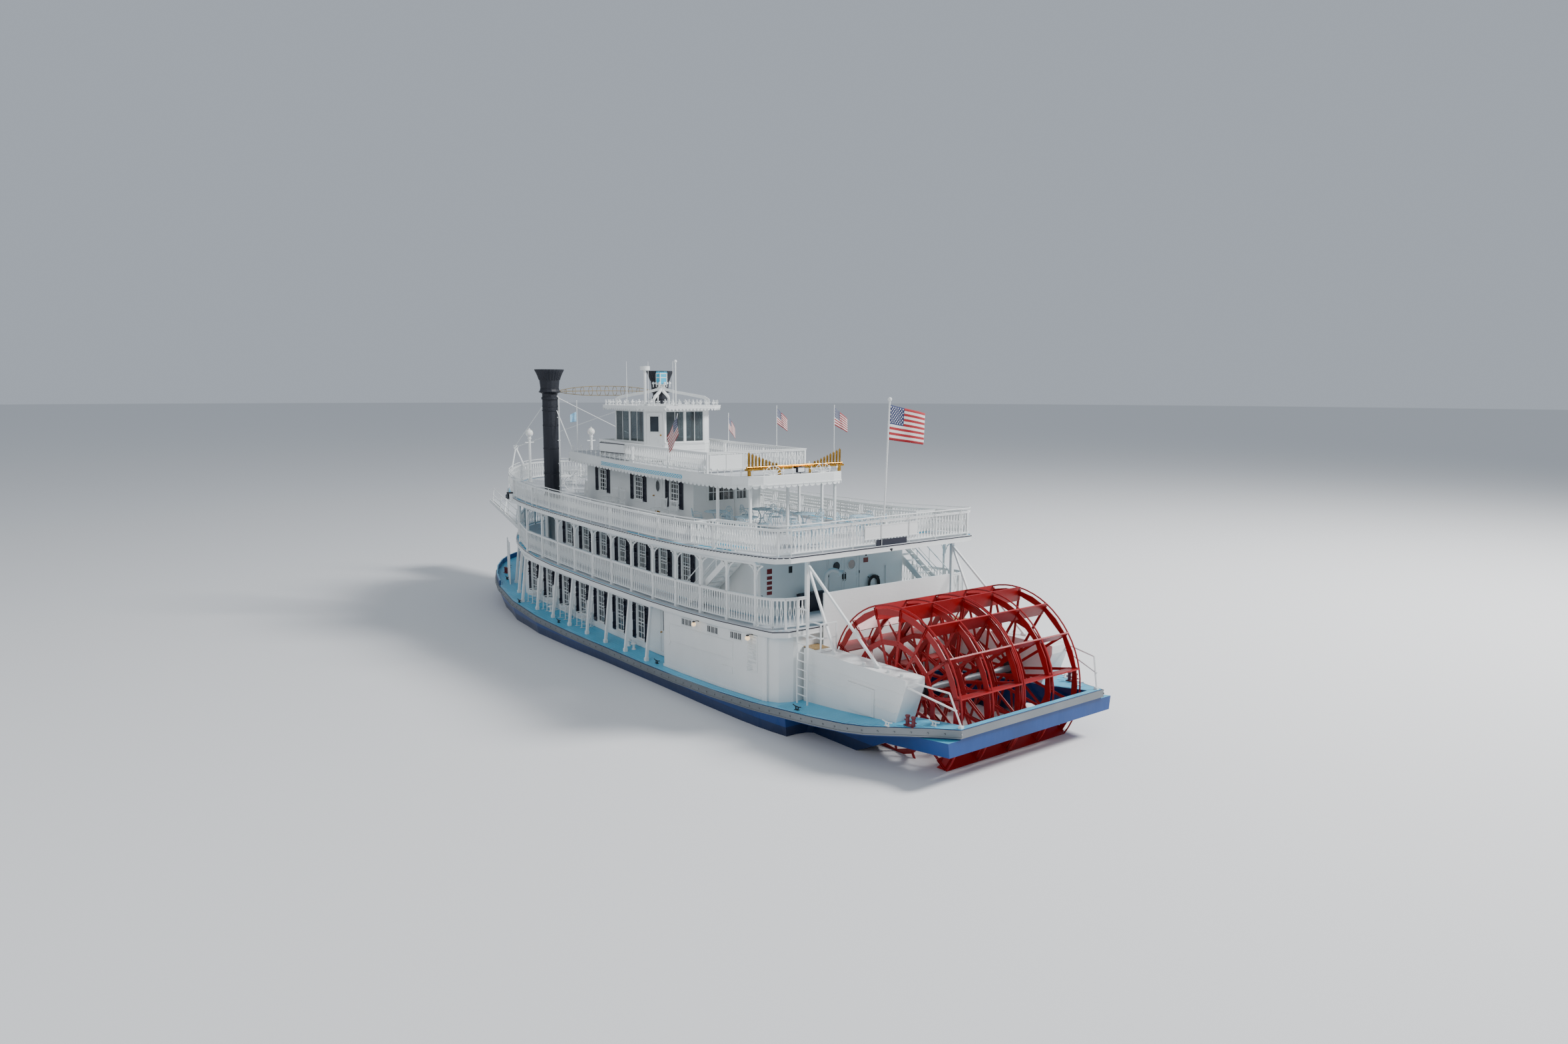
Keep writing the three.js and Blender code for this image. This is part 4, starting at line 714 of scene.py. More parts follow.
class Opening:
    """A window's place: its middle along X, its wall's face, and its sill and head over the main deck."""

    def __init__(self, x, face, sill, head, half, columns, rows):
        self.x, self.face, self.sill, self.head, self.half = x, face, sill, head, half
        self.columns, self.rows = columns, rows


def sash(work, o):
    """Casing, sash frame, glazing bars (coat 0) and panes (coat 1) for a window in a wall facing +Y."""
    casing, rail, bar = 0.07, 0.042, 0.012
    x0, x1, f = o.x - o.half, o.x + o.half, o.face
    back, front, middle = f - 0.055, f - 0.018, (o.sill + o.head) / 2
    for a, b in ((x0 - casing, x0 + 0.012), (x1 - 0.012, x1 + casing)):
        work.board((a, b), (f - 0.01, f + 0.024), (o.sill - 0.02, o.head + 0.02))
    work.board((x0 - casing - 0.02, x1 + casing + 0.02), (f - 0.01, f + 0.034), (o.head, o.head + 0.09))
    work.board((x0 - casing - 0.03, x1 + casing + 0.03), (f - 0.05, f + 0.055), (o.sill - 0.06, o.sill))
    for a, b in ((x0, x0 + rail), (x1 - rail, x1)):
        work.board((a, b), (back, front), (o.sill, o.head))
    for a, b in ((o.sill, o.sill + rail * 1.3), (o.head - rail, o.head)):
        work.board((x0, x1), (back, front), (a, b))
    work.board((x0, x1), (back - 0.004, front + 0.006), (middle - 0.02, middle + 0.02))
    for k in range(1, o.columns):
        at = x0 + (x1 - x0) * k / o.columns
        work.board((at - bar, at + bar), (back + 0.008, front), (o.sill, o.head))
    for k in range(1, o.rows):
        at = o.sill + (o.head - o.sill) * k / o.rows
        work.board((x0, x1), (back + 0.008, front - 0.002), (at - bar, at + bar))
    work.board((x0 + 0.01, x1 - 0.01), (back + 0.012, back + 0.018), (o.sill + 0.01, o.head - 0.01), 1)


def shutter_frame(work, o, width, gap):
    """Stiles and rails of the two shutters beside a window, and the lines that their slats stand on."""
    lines = []
    middle = (o.sill + o.head) / 2
    for side in (-1, 1):
        near = o.x + side * (o.half + gap)
        far = near + side * width
        x0, x1 = min(near, far), max(near, far)
        y = (o.face + 0.004, o.face + 0.036)
        for a, b in ((x0, x0 + 0.04), (x1 - 0.04, x1)):
            work.board((a, b), y, (o.sill - 0.02, o.head + 0.02))
        for low, high in ((o.sill - 0.02, o.sill + 0.05), (o.head - 0.03, o.head + 0.02),
                          (middle - 0.025, middle + 0.025)):
            work.board((x0, x1), y, (low, high))
        work.board((x0 + 0.02, x1 - 0.02), (o.face + 0.002, o.face + 0.01), (o.sill, o.head))
        for hinge in (o.sill + 0.15, o.head - 0.15):
            work.board((near - 0.03, near + 0.03), (o.face + 0.03, o.face + 0.042), (hinge - 0.03, hinge + 0.03))
        xm = (x0 + x1) / 2
        for low, high in ((o.sill + 0.075, middle - 0.04), (middle + 0.05, o.head - 0.045)):
            lines.append([(xm, o.face + 0.02, z + deck(xm)) for z in (low, high)])
    return lines


def scalloped_head(work, o, y, reach, rise):
    """A sawn board over a window: a low arch with small scallops along its top."""
    outline = [(reach, -0.06), (reach * 0.9, 0.0), (-reach * 0.9, 0.0), (-reach, -0.06)]
    count = 18
    for k in range(count, -1, -1):
        u = -reach + 2 * reach * k / count
        outline.insert(0, (u, rise * (0.4 + 0.6 * math.cos(u / reach * math.pi / 2)) + (0.022 if k % 2 else 0.0)))
    work.plate(outline[::-1], 0.025, (o.x, y, o.head + deck(o.x) + 0.03), along=-1)


main_windows = [Opening(8.84 - 1.72 * k, 3.95, 0.3, 1.74, 0.275, 2, 5) for k in range(7)]
saloon_windows = [Opening(6.05 - 1.69 * k, 3.4, 3.04, 4.24, 0.275, 3, 5) for k in range(7)]
texas_windows = [Opening(x, 1.7, 5.43, 6.62, 0.33, 3, 6) for x in (5.91, 2.54, -0.49)]
joinery, shutters, heads = Joinery(True), Joinery(True), Joinery(True)
slat_lines = []
for o in main_windows + saloon_windows + texas_windows:
    sash(joinery, o)
    slat_lines += shutter_frame(shutters, o, 0.27 if o.face > 3.6 else 0.3, 0.075)
for o in main_windows:
    scalloped_head(heads, o, o.face + 0.045, o.half + 0.12, 0.16)
for o in saloon_windows:
    heads.board((o.x - o.half - 0.12, o.x + o.half + 0.12), (o.face + 0.02, o.face + 0.06),
                (o.head + 0.09, o.head + 0.13))
joinery.mirrored().make("windows", [white, glass])
shutters.mirrored().make("shutters", [navy], "boat", "stack_black")
heads.mirrored().make("window_heads", [navy], "boat", "stack_black")
slat = Joinery().rings([[(x, -0.01, -0.018), (x, -0.004, -0.02), (x, 0.012, 0.016), (x, 0.006, 0.018)]
                        for x in (-0.105, 0.105)])
both_lines = slat_lines + [[(x, -y, z) for x, y, z in line] for line in slat_lines]
row("shutter_slats", both_lines, slat, 0.052, navy)

# The main deckhouse's after part: small fixed lights in threes, a louvred vent and a plain framed board, all
# of painted timber planted on the wall. Skirtings and mouldings run along it and the saloon over it.
side_work = Joinery(True)
for x in (-6.11, -7.82, -9.25):
    for k in (-1, 0, 1):
        xm = x + 0.23 * k
        side_work.board((xm - 0.1, xm + 0.1), (4.655, 4.672), (1.86, 2.1))
        side_work.board((xm - 0.085, xm + 0.085), (4.668, 4.678), (1.875, 2.085), 1)
        side_work.board((xm - 0.006, xm + 0.006), (4.67, 4.685), (1.875, 2.085))
    side_work.board((x - 0.36, x + 0.36), (4.66, 4.69), (2.1, 2.125))
    side_work.board((x - 0.36, x + 0.36), (4.66, 4.7), (1.83, 1.86))
side_work.board((-9.05, -4.95), (4.66, 4.676), (1.12, 1.72))
for low, high in ((1.1, 1.13), (1.71, 1.74)):
    side_work.board((-9.08, -4.92), (4.66, 4.69), (low, high))
for a, b in ((-9.08, -9.05), (-4.95, -4.92)):
    side_work.board((a, b), (4.66, 4.69), (1.1, 1.74))
side_work.board((-9.05, -8.35), (4.66, 4.69), (0.62, 0.84))
side_work.board((-10.52, -9.95), (4.66, 4.682), (0.92, 2.14))
for a, b in ((-10.52, -10.48), (-9.99, -9.95)):
    side_work.board((a, b), (4.66, 4.7), (0.92, 2.14))
for z in (0.92, 2.1):
    side_work.board((-10.52, -9.95), (4.66, 4.7), (z, z + 0.04))
for x in (-4.55, -11.0):
    side_work.board((x - 0.03, x + 0.03), (4.655, 4.675), (0.02, 2.2))
side_work.run(raised(with_knots([(-4.45, 4.672, 0.06), (-10.7, 4.672, 0.06)])), 0.02, 0.1)
side_work.run(raised(with_knots([(-4.0, 3.962, 0.1), (9.9, 3.962, 0.1)])), 0.02, 0.16)
side_work.run(raised(with_knots([(-4.0, 3.962, 2.12), (9.9, 3.962, 2.12)])), 0.03, 0.05)
side_work.run(raised(with_knots([(-8.9, 3.412, 4.56), (8.6, 3.412, 4.56)])), 0.03, 0.05)
side_work.run(raised(with_knots([(-8.9, 3.412, 2.5), (7.5, 3.412, 2.5)])), 0.02, 0.14)
side_work.mirrored().make("deckhouse_joinery", [white, glass])
louvre = Joinery().rings([[(x, -0.012, -0.016), (x, -0.006, -0.02), (x, 0.012, 0.014), (x, 0.006, 0.018)]
                          for x in (-0.235, 0.235)])
vent_lines = [[(-10.235, side * 4.688, 0.98 + deck(-10.235)), (-10.235, side * 4.688, 2.07 + deck(-10.235))]
              for side in (1, -1)]
row("deckhouse_louvres", vent_lines, louvre, 0.055, white)

# Doors: painted timber rails round the panels, a light that is round, oval or oblong, and a brass knob or a
# steel pull handle, all screwed to the leaf and swinging with it.


def knob(work, x, y, z, out):
    work.turned([(0.035, 0), (0.035, 0.008), (0.012, 0.012), (0.012, 0.035), (0.032, 0.05), (0.034, 0.065),
                 (0.0, 0.08)], (x, y, z), 12, 1, out)


def porthole(work, centre, radius, out):
    out = Vector(out)
    work.turned([(radius + 0.04, -0.002), (radius + 0.04, 0.014), (radius + 0.012, 0.022), (radius, 0.012),
                 (radius, 0.002), (0.0, 0.003)], centre, 24, 0, out)
    work.turned([(radius - 0.004, 0.0), (radius - 0.004, 0.006), (0.0, 0.007)], Vector(centre) + out * 0.003, 24,
                2, out)


for side, low_y, high_y, knob_y in (("port", -0.417, 0.319, -0.36), ("starboard", -1.159, -0.423, -0.48)):
    leaf = Joinery()
    base = deck(-8.93) + SECOND + 0.066
    face = -8.932
    for y0, y1, z0, z1 in ((low_y + 0.02, high_y - 0.02, 0.03, 0.13), (low_y + 0.02, high_y - 0.02, 1.82, 1.93),
                           (low_y + 0.02, low_y + 0.11, 0.13, 1.82), (high_y - 0.11, high_y - 0.02, 0.13, 1.82),
                           (low_y + 0.11, high_y - 0.11, 0.85, 0.95)):
        leaf.board((face - 0.008, face + 0.004), (y0, y1), (base + z0, base + z1))
    porthole(leaf, (face - 0.001, (low_y + high_y) / 2, base + 1.38), 0.17, (-1, 0, 0))
    leaf.board((face - 0.012, face), (knob_y - 0.035, knob_y + 0.035), (base + 0.86, base + 1.06), 1)
    leaf.run([(face - 0.01, knob_y, base + 0.8), (face - 0.055, knob_y, base + 0.84),
              (face - 0.055, knob_y, base + 1.08), (face - 0.01, knob_y, base + 1.12)], 0.018, 0.018, 1, sides=8)
    leaf.make("aft_door_fittings_" + side, [white, dark_steel, glass], "aft_door_" + side, "white_paint")

for side in (1, -1):
    name = "port" if side > 0 else "starboard"
    leaf = Joinery()
    base = deck(0.85) + THIRD + 0.01
    face = 1.702
    for x0, x1, z0, z1 in ((0.47, 1.23, 0.02, 0.12), (0.47, 1.23, 1.76, 1.87), (0.47, 0.57, 0.12, 1.76),
                           (1.13, 1.23, 0.12, 1.76), (0.57, 1.13, 0.8, 0.9)):
        leaf.board((x0, x1), (face - 0.004, face + 0.01), (base + z0, base + z1))
    oval = [(v, u) for u, v in circle(24)]
    centre = (0.85, face + 0.008, base + 1.42)
    leaf.holed([(0.21 * u, 0.29 * v) for u, v in oval], [(0.165 * u, 0.245 * v) for u, v in oval], 0.022, centre)
    leaf.plate([(0.175 * u, 0.255 * v) for u, v in reversed(oval)], 0.008, centre, 2)
    knob(leaf, 1.17, face + 0.008, base + 0.98, (0, 1, 0))
    leaf.board((0.6, 1.1), (face, face + 0.008), (base + 0.16, base + 0.34), 1)
    if side < 0:
        leaf.moved_across()
    leaf.make("texas_door_fittings_" + name, [white, brass, glass], "texas_door_" + name, "white_paint")

    leaf = Joinery()
    base = deck(-3.475) + 0.01
    face = 3.928
    for x0, x1, z0, z1 in ((-3.88, -3.07, 0.02, 0.14), (-3.88, -3.07, 1.86, 1.97), (-3.88, -3.78, 0.14, 1.86),
                           (-3.17, -3.07, 0.14, 1.86), (-3.78, -3.17, 0.86, 0.97)):
        leaf.board((x0, x1), (face, face + 0.012), (base + z0, base + z1))
    leaf.board((-3.74, -3.21), (face + 0.002, face + 0.01), (base + 1.02, base + 1.8), 2)
    for x0, x1, z0, z1 in ((-3.76, -3.73, 1.0, 1.82), (-3.22, -3.19, 1.0, 1.82), (-3.76, -3.19, 0.98, 1.02),
                           (-3.76, -3.19, 1.8, 1.84), (-3.49, -3.46, 1.0, 1.82)):
        leaf.board((x0, x1), (face, face + 0.017), (base + z0, base + z1))
    knob(leaf, -3.12, face + 0.01, base + 0.95, (0, 1, 0))
    if side < 0:
        leaf.moved_across()
    leaf.make("deckhouse_door_fittings_" + name, [white, brass, glass], "deckhouse_door_" + name, "white_paint")

# The paddle wheel's iron: a pipe hoop over the bucket ends at each frame, cleats and bolts where each bucket
# is held to its arms, rivets in the two bands, and a ring of bolts on each hub. One sector is made, at the
# arm that points ahead, and set round the shaft fifteen times.
WHEEL = (-14.95, 0.0, 1.68)
FRAMES = (-2.7315, -1.3895, -0.0425, 0.0425, 1.3895, 2.7315)


def loop_of(work, centre, u, v, radius, thick, count=14, sides=5):
    """A bar bent to a ring in the plane of two directions."""
    centre, u, v = Vector(centre), Vector(u).normalized(), Vector(v).normalized()
    n = u.cross(v)
    return work.rings([[centre + (u * c + v * s) * (radius + a) + n * b for a, b in circle(sides, thick)]
                       for c, s in circle(count)], closed=True)


# Each copy is turned about the shaft by its share of a whole turn.
round_shaft, nodes = repeater("round_the_shaft", (("Count", "Int"), ("Centre", "Vector")), (
    ("points", "GeometryNodePoints", {}), ("index", "GeometryNodeInputIndex", {}),
    ("step", "ShaderNodeMath", {"operation": "DIVIDE"}), ("angle", "ShaderNodeMath", {"operation": "MULTIPLY"}),
    ("euler", "ShaderNodeCombineXYZ", {}), ("turn", "FunctionNodeEulerToRotation", {})), (
    ("start", "Count", "points", "Count"), ("start", "Centre", "points", "Position"),
    ("start", "Count", "step", 1), ("step", 0, "angle", 0), ("index", 0, "angle", 1),
    ("angle", 0, "euler", "Y"), ("euler", 0, "turn", 0),
    ("points", 0, "copies", "Points"), ("turn", 0, "copies", "Rotation")))
nodes["step"].inputs[0].default_value = 2 * math.pi


sector = Joinery()
nut = [(0.019, 0), (0.019, 0.014), (0.008, 0.02), (0.0, 0.021)]
for y in FRAMES:
    for face in (-1, 1):
        for r in (2.46, 2.6, 2.76):
            sector.turned(nut, (r, y, face * 0.033), 6, 0, (0, 0, face))
        sector.board((2.42, 2.8), (y - 0.05, y + 0.05), (face * 0.0228, face * 0.033))
        out = 1 if y > 0 else -1
    for r in (0.3, 0.38, 1.66, 1.75, 2.6, 2.7):
        sector.turned(nut, (r, y + out * 0.0135, 0), 6, 0, (0, out, 0))
repeated("wheel_bolts", round_shaft, bpy.data.meshes.new("wheel_centre"), sector,
         {"Count": 15, "Centre": WHEEL, "Finish": red}, "sternwheel")
hoops = Joinery()
for y in FRAMES:
    for radius, thick, count, sides in ((2.846, 0.027, 60, 8), (1.705, 0.016, 48, 6)):
        loop_of(hoops, (WHEEL[0], y, WHEEL[2]), (1, 0, 0), (0, 0, 1), radius, thick, count, sides)
hoops.make("wheel_hoops", [red], "sternwheel", "wheel_red")
collars = Joinery()
for side in (-1, 1):
    for y0, y1, r in ((0.1, 0.16, 0.2), (1.3, 1.362, 0.24), (1.417, 1.48, 0.24), (2.66, 2.7, 0.24),
                      (2.746, 2.8, 0.19)):
        collars.turned([(0.1, 0), (r, 0), (r, (y1 - y0) * 0.7), (r * 0.8, y1 - y0), (0.1, y1 - y0)],
                       (WHEEL[0], side * y0, WHEEL[2]), 20, 0, (0, side, 0))
collars.make("shaft_collars", [dark_steel], "sternwheel", "steel")

# The timber boxes that carry the wheel's bearings: battens and a lip along the plating, a raised
# access panel aft, a capping on top with a timber step, and chocks.
box_work = Joinery()


def box_end(z):
    """The box's after edge at a height over the water."""
    return -16.12 - 0.38 * max(0.0, z - 1.36) / 1.09 if z < 2.45 else -16.5


face = 3.732
for z, out in ((2.24, 0.016), (1.86, 0.01), (1.66, 0.01)):
    box_work.board((box_end(z) + 0.01, -11.81), (face - 0.003, face + out), (z, z + 0.035))
box_work.board((box_end(2.3) + 0.01, -11.81), (face - 0.003, face + 0.008), (2.27, 2.69))
box_work.board((-11.88, -11.8), (face - 0.003, face + 0.012), (deck(-11.8) + 0.01, 2.69))
box_work.board((-15.2, -14.0), (face - 0.003, face + 0.05), (deck(-15.2) + 0.02, 2.14))
box_work.board((-15.14, -14.06), (face + 0.04, face + 0.062), (deck(-15.2) + 0.09, 2.07))
for z in (1.45, 1.95):
    box_work.board((-14.08, -13.97), (face + 0.045, face + 0.068), (z, z + 0.09))
box_work.board((-16.1, -15.26), (face - 0.003, face + 0.02), (1.62, 1.66))
box_work.board((-16.42, -11.81), (2.98, 3.72), (2.7, 2.716))
for y in (2.965, 3.715):
    box_work.board((-16.49, -11.81), (y - 0.014, y + 0.022), (2.66, 2.722))
for x in (-15.55, -16.1, -14.45, -12.5):
    box_work.turned([(0.06, 0), (0.06, 0.05), (0.045, 0.08), (0.0, 0.085)], (x, 3.5, 2.716), 12)
box_work.mirrored().make("timber_box_panels", [white, dark_steel])
step_boards = Joinery()
for k in range(5):
    step_boards.board((-12.3 + k * 0.13, -12.19 + k * 0.13), (3.05, 3.66), (2.728, 2.752), 0)
oak, _ = mottled("oak", 0.6, 9, rgb("6e5534"), rgb("a58a5c"), (1, 6, 1))
step_boards.mirrored().make("timber_box_steps", [oak], "boat", "deck_cyan")

# The roof over the upper cabin, all painted timber: kerbs, round scallops hung from the edge, sawn stars on
# short pins along it, a frieze with crossed laths, and a lattice strip on the margin. The frieze's board and a
# thin strip on the margin are cyan as painted shade: the pale roof edge as it looks in shade.
edge_line = with_knots([(x, y, 0.0) for x, y in both_sides(ROOF_PLAN)], True)
scallop = Joinery()
arc = [(0.135 * math.cos(math.pi * k / 8), -0.115 * math.sin(math.pi * k / 8)) for k in range(9)]
scallop.plate([(0.135, 0.05), (-0.135, 0.05), *arc[::-1]], 0.02)
hung = raised([(x, y, 6.82) for x, y, z in edge_line])
row("roof_scallops", [hung + hung[:1]], scallop, 0.29, white)
star = Joinery()
star.plate([(-r * u, 0.2 + r * v) for (v, u), r in zip(circle(8), (0.1, 0.035) * 4)], 0.022)
star.board((-0.012, 0.012), (-0.012, 0.012), (0, 0.12))
star.turned([(0.03, 0), (0.034, 0.015), (0.015, 0.04), (0.012, 0.06)], (0, 0, 0), 6)
inner_edge = with_knots([(x, y, 0.0) for x, y in both_sides(inset(ROOF_PLAN, 0.06))], True)
pins = raised([(x, y, ROOF + 0.001) for x, y, z in inner_edge])
row("roof_stars", [pins + pins[:1]], star, 0.45, white)
kerb = Joinery()
kerb.run(raised([(x, y, ROOF + 0.012) for x, y, z in inner_edge]), 0.07, 0.03, closed=True)
kerb.run(raised([(x, y, 6.83) for x, y, z in edge_line]), 0.05, 0.03, closed=True)
kerb.make("roof_kerbs", [white])
frieze = Joinery()
for side in (1, -1):
    edge = sorted((x, abs(y)) for x, y, z in edge_line if y * side > 0 and -2.7 < x < 4.4)
    spans = list(zip(edge, edge[1:]))
    beam = lambda x: next((p[1] + (q[1] - p[1]) * (x - p[0]) / max(q[0] - p[0], 1e-9) for p, q in spans
                           if p[0] <= x <= q[0]), edge[0][1])
    spots = [-2.55 + 0.19 * i for i in range(37)]
    # The frieze's board takes the cyan coat: painted shade along the roof's edge.
    frieze.run([(x, side * (beam(x) + 0.008), deck(x) + 6.945) for x in spots], 0.022, 0.15, 1)
    for flip in (0, 1):
        frieze.run([(x, side * (beam(x) + 0.022), deck(x) + 6.945 + (0.06 if (i + flip) % 2 else -0.06))
                    for i, x in enumerate(spots)], 0.014, 0.026)
frieze.make("roof_frieze", [white, cyan])
lattice = Joinery()
lath = ((-0.012, 0.0), (0.012, 0.0), (0.012, 0.02), (-0.012, 0.02))
for tilt in (-1, 1):
    lattice.rings([[(tilt * way * 0.1 + u, way * 0.07, v) for u, v in lath] for way in (-1, 1)])
for y0, y1 in ((-0.085, -0.06), (0.06, 0.085)):
    lattice.board((-0.02, 0.02), (y0, y1), (0.0, 0.024))
margins = [[(7.3, side * 2.49, ROOF + 0.002), (-5.9, side * 2.49, ROOF + 0.002)] for side in (1, -1)]
row("roof_lattice", [raised(with_knots(line)) for line in margins], lattice, 0.2, white)
# A thin cyan sheet on the roof's margin: painted shade, the pale roof edge as it looks in shade.
painted_shade_strip = Joinery()
for side in (1, -1):
    line = [(7.4, side * 2.495, ROOF + 0.001), (-6.0, side * 2.495, ROOF + 0.001)]
    painted_shade_strip.run(raised(with_knots(line)), 0.13, 0.004)
painted_shade_strip.make("roof_margin", [cyan], "boat", "deck_cyan")
dress(white, "roof")

# The pilothouse: big panes in thin sashes with one bar each, a saw-tooth board under the roof's edge, small
# crosses along it, lamp bulbs up the four ribs, and a cyan crown with pointed boards and white balls.
clear, clear_shader = mottled("pilothouse_glass", 0.03, 1.2, rgb("8d9aa0"), rgb("b3bcbd"))
clear_shader.inputs["Transmission Weight"].default_value = 0.9
clear_shader.inputs["IOR"].default_value = 1.45
PILOT = (3.32, 1.96, 1.675, 0.64)  # its middle, half its length and breadth, and its corners' cut


def pilot_plan(grown):
    """The pilothouse's outline, an oblong with cut corners, grown by an amount."""
    middle, a, b, c = PILOT[0], PILOT[1] + grown, PILOT[2] + grown, PILOT[3] + grown * (2 - math.sqrt(2))
    return both_sides([(middle - a, b - c), (middle - a + c, b), (middle + a - c, b), (middle + a, b - c)])


cabin = Joinery()
low, high = 8.72, 10.09
for x0, x1 in ((2.05, 3.285), (3.355, 4.59)):
    for side in (-1, 1):
        y = side * 1.65
        out = side * 1.681
        cabin.board((x0 - 0.004, x1 + 0.004), (y - 0.004, y + 0.004), (low - 0.004, high + 0.004), 1)
        bar = (x0 + x1) / 2
        for a, b in ((x0, x0 + 0.035), (x1 - 0.035, x1), (bar - 0.012, bar + 0.012)):
            cabin.board((a, b), (y - 0.018, y + 0.018), (low, high))
        for a, b in ((low, low + 0.04), (high - 0.035, high)):
            cabin.board((x0, x1), (y - 0.018, y + 0.018), (a, b))
        cabin.board((x0 - 0.05, x1 + 0.05), (side * 1.67, out + side * 0.03), (low - 0.05, low))
        cabin.board((x0 - 0.03, x1 + 0.03), (side * 1.67, out + side * 0.008), (high, high + 0.05))
for x, out in ((1.36, -1), (5.28, 1)):
    for side in (-1, 1):
        y0, y1 = sorted((side * 0.035, side * 0.975))
        at = x - out * 0.025
        cabin.board((at - 0.004, at + 0.004), (y0 - 0.004, y1 + 0.004), (low - 0.004, high + 0.004), 1)
        bar = (y0 + y1) / 2
        for a, b in ((y0, y0 + 0.035), (y1 - 0.035, y1), (bar - 0.012, bar + 0.012)):
            cabin.board((at - 0.018, at + 0.018), (a, b), (low, high))
        for a, b in ((low, low + 0.04), (high - 0.035, high)):
            cabin.board((at - 0.018, at + 0.018), (y0, y1), (a, b))
        cabin.board((x - 0.005 if out > 0 else x - 0.036, x + 0.036 if out > 0 else x + 0.005),
                    (y0 - 0.04, y1 + 0.04), (low - 0.05, low))
ground = ROOF + deck(PILOT[0])
for z, out, thick in ((ground + 0.1, 0.004, 0.16), (8.64, 0.006, 0.05), (ground + 0.46, 0.003, 0.03)):
    cabin.run([(x, y, z) for x, y in pilot_plan(out)], 0.02, thick, closed=True)
cabin.make("pilothouse_sashes", [white, clear])
tooth = Joinery().plate([(-0.09, 0.0), (0.0, -0.1), (0.09, 0.0), (0.09, 0.03), (-0.09, 0.03)], 0.016)
eave = [(x, y, 10.2) for x, y in pilot_plan(0.488)]
row("pilothouse_teeth", [eave + eave[:1]], tooth, 0.18, white)
cross = Joinery()
cross.board((-0.018, 0.018), (-0.014, 0.014), (0, 0.2))
cross.board((-0.07, 0.07), (-0.012, 0.012), (0.1, 0.135))
for u, v in ((-0.07, 0.118), (0.07, 0.118), (0, 0.205)):
    cross.rings([[(u + a, y, v + b) for a, b in circle(6, 0.03)] for y in (-0.013, 0.013)])
eave_top = [(x, y, 10.321) for x, y in pilot_plan(0.43)]
row("pilothouse_crosses", [eave_top + eave_top[:1]], cross, 0.34, white)
trim = Joinery()
trim.run([(x, y, 10.3) for x, y in pilot_plan(0.495)], 0.03, 0.05, closed=True)
trim.run([(x, y, 10.216) for x, y in pilot_plan(0.495)], 0.026, 0.026, closed=True)
for side in (-1, 1):
    for way in (-1, 1):
        x, y = PILOT[0] + way * 0.17, side * 0.17
        trim.board((x - 0.018, x + 0.018), (y - 0.018, y + 0.018), (11.22, 11.74))
for z in (11.24, 11.55, 11.73):
    trim.run([(PILOT[0] + u * 0.175, v * 0.175, z) for u, v in ((-1, -1), (-1, 1), (1, 1), (1, -1))], 0.02, 0.035,
             closed=True)


def ball(radius, steps=8):
    """A ball's profile, from its foot to its head."""
    return [(radius * math.cos(a), radius * math.sin(a)) for a in
            (-math.pi / 2 + math.pi * k / steps for k in range(steps + 1))]


for u, v in ((-1, -1), (-1, 0), (-1, 1), (0, 1), (1, 1), (1, 0), (1, -1), (0, -1)):
    trim.turned(ball(0.06), (PILOT[0] + 0.27 * u, 0.27 * v, 11.3), 14)
    trim.rod((PILOT[0] + 0.27 * u, 0.27 * v, 11.12), (PILOT[0] + 0.27 * u, 0.27 * v, 11.27), 0.02, 8)
trim.make("pilothouse_roof_trim", [white])
point = Joinery().plate([(-0.045, -0.02), (0.045, -0.02), (0.0, 0.07)], 0.012)
crown = [(PILOT[0] + u * 0.165, v * 0.165, 11.765) for u, v in ((-1, -1), (-1, 1), (1, 1), (1, -1), (-1, -1))]
row("crown_points", [crown], point, 0.09, cyan)
dress(white, "pilothouse_roof")
crown_boards = Joinery()
for u, v in ((1, 0), (-1, 0), (0, 1), (0, -1)):
    reach = (0.006 if u else 0.15, 0.006 if v else 0.15)
    x, y = PILOT[0] + u * 0.172, v * 0.172
    crown_boards.board((x - reach[0], x + reach[0]), (y - reach[1], y + reach[1]), (11.26, 11.71))
crown_boards.make("crown_boards", [cyan], "boat", "deck_cyan")
FOOT = 2.247
rib = [(FOOT - 0.06, 0.16), (FOOT * 0.93, 0.32), (FOOT * 0.8, 0.41), (FOOT * 0.5, 0.5), (FOOT * 0.3, 0.58),
       (FOOT * 0.14, 0.66)]
bulb = Joinery().turned([(0.0, 0.0), (0.022, 0.012), (0.026, 0.024), (0.02, 0.04), (0.0, 0.048)], (0, 0, 0), 8, 0,
                        (0, 1, 0))
bulb_paths = []
turn = math.atan2(1.355, 1.64)
for angle in (turn, math.pi - turn, math.pi + turn, -turn):
    ca, sa = math.cos(angle), math.sin(angle)
    for way in (1, -1):
        line = [(PILOT[0] + u * ca - way * 0.04 * sa, u * sa + way * 0.04 * ca, 10.32 + h) for u, h in rib]
        bulb_paths.append(line if way > 0 else line[::-1])
row("rib_bulbs", bulb_paths, bulb, 0.2, dark_steel)

# The pilothouse door, in the after corner to port: painted timber rails round a tall light and a raised panel,
# and a brass knob. All of it is fixed to the leaf and swings with it.
leaf = Joinery()
corner = Vector((PILOT[0] - PILOT[1] + PILOT[3] / 2, PILOT[2] - PILOT[3] / 2, 0))
along, out = Vector((math.sqrt(0.5), math.sqrt(0.5), 0)), Vector((-math.sqrt(0.5), math.sqrt(0.5), 0))


def on_leaf(u0, u1, z0, z1, deep, lift, coat=0):
    """A board on the leaf's outer face, from its ranges along the leaf and up it."""
    rings = []
    for z in (z0, z1):
        rings.append([corner + along * u + out * d + Vector((0, 0, z))
                      for u, d in ((u0, deep), (u1, deep), (u1, lift), (u0, lift))])
    leaf.rings(rings, coat)


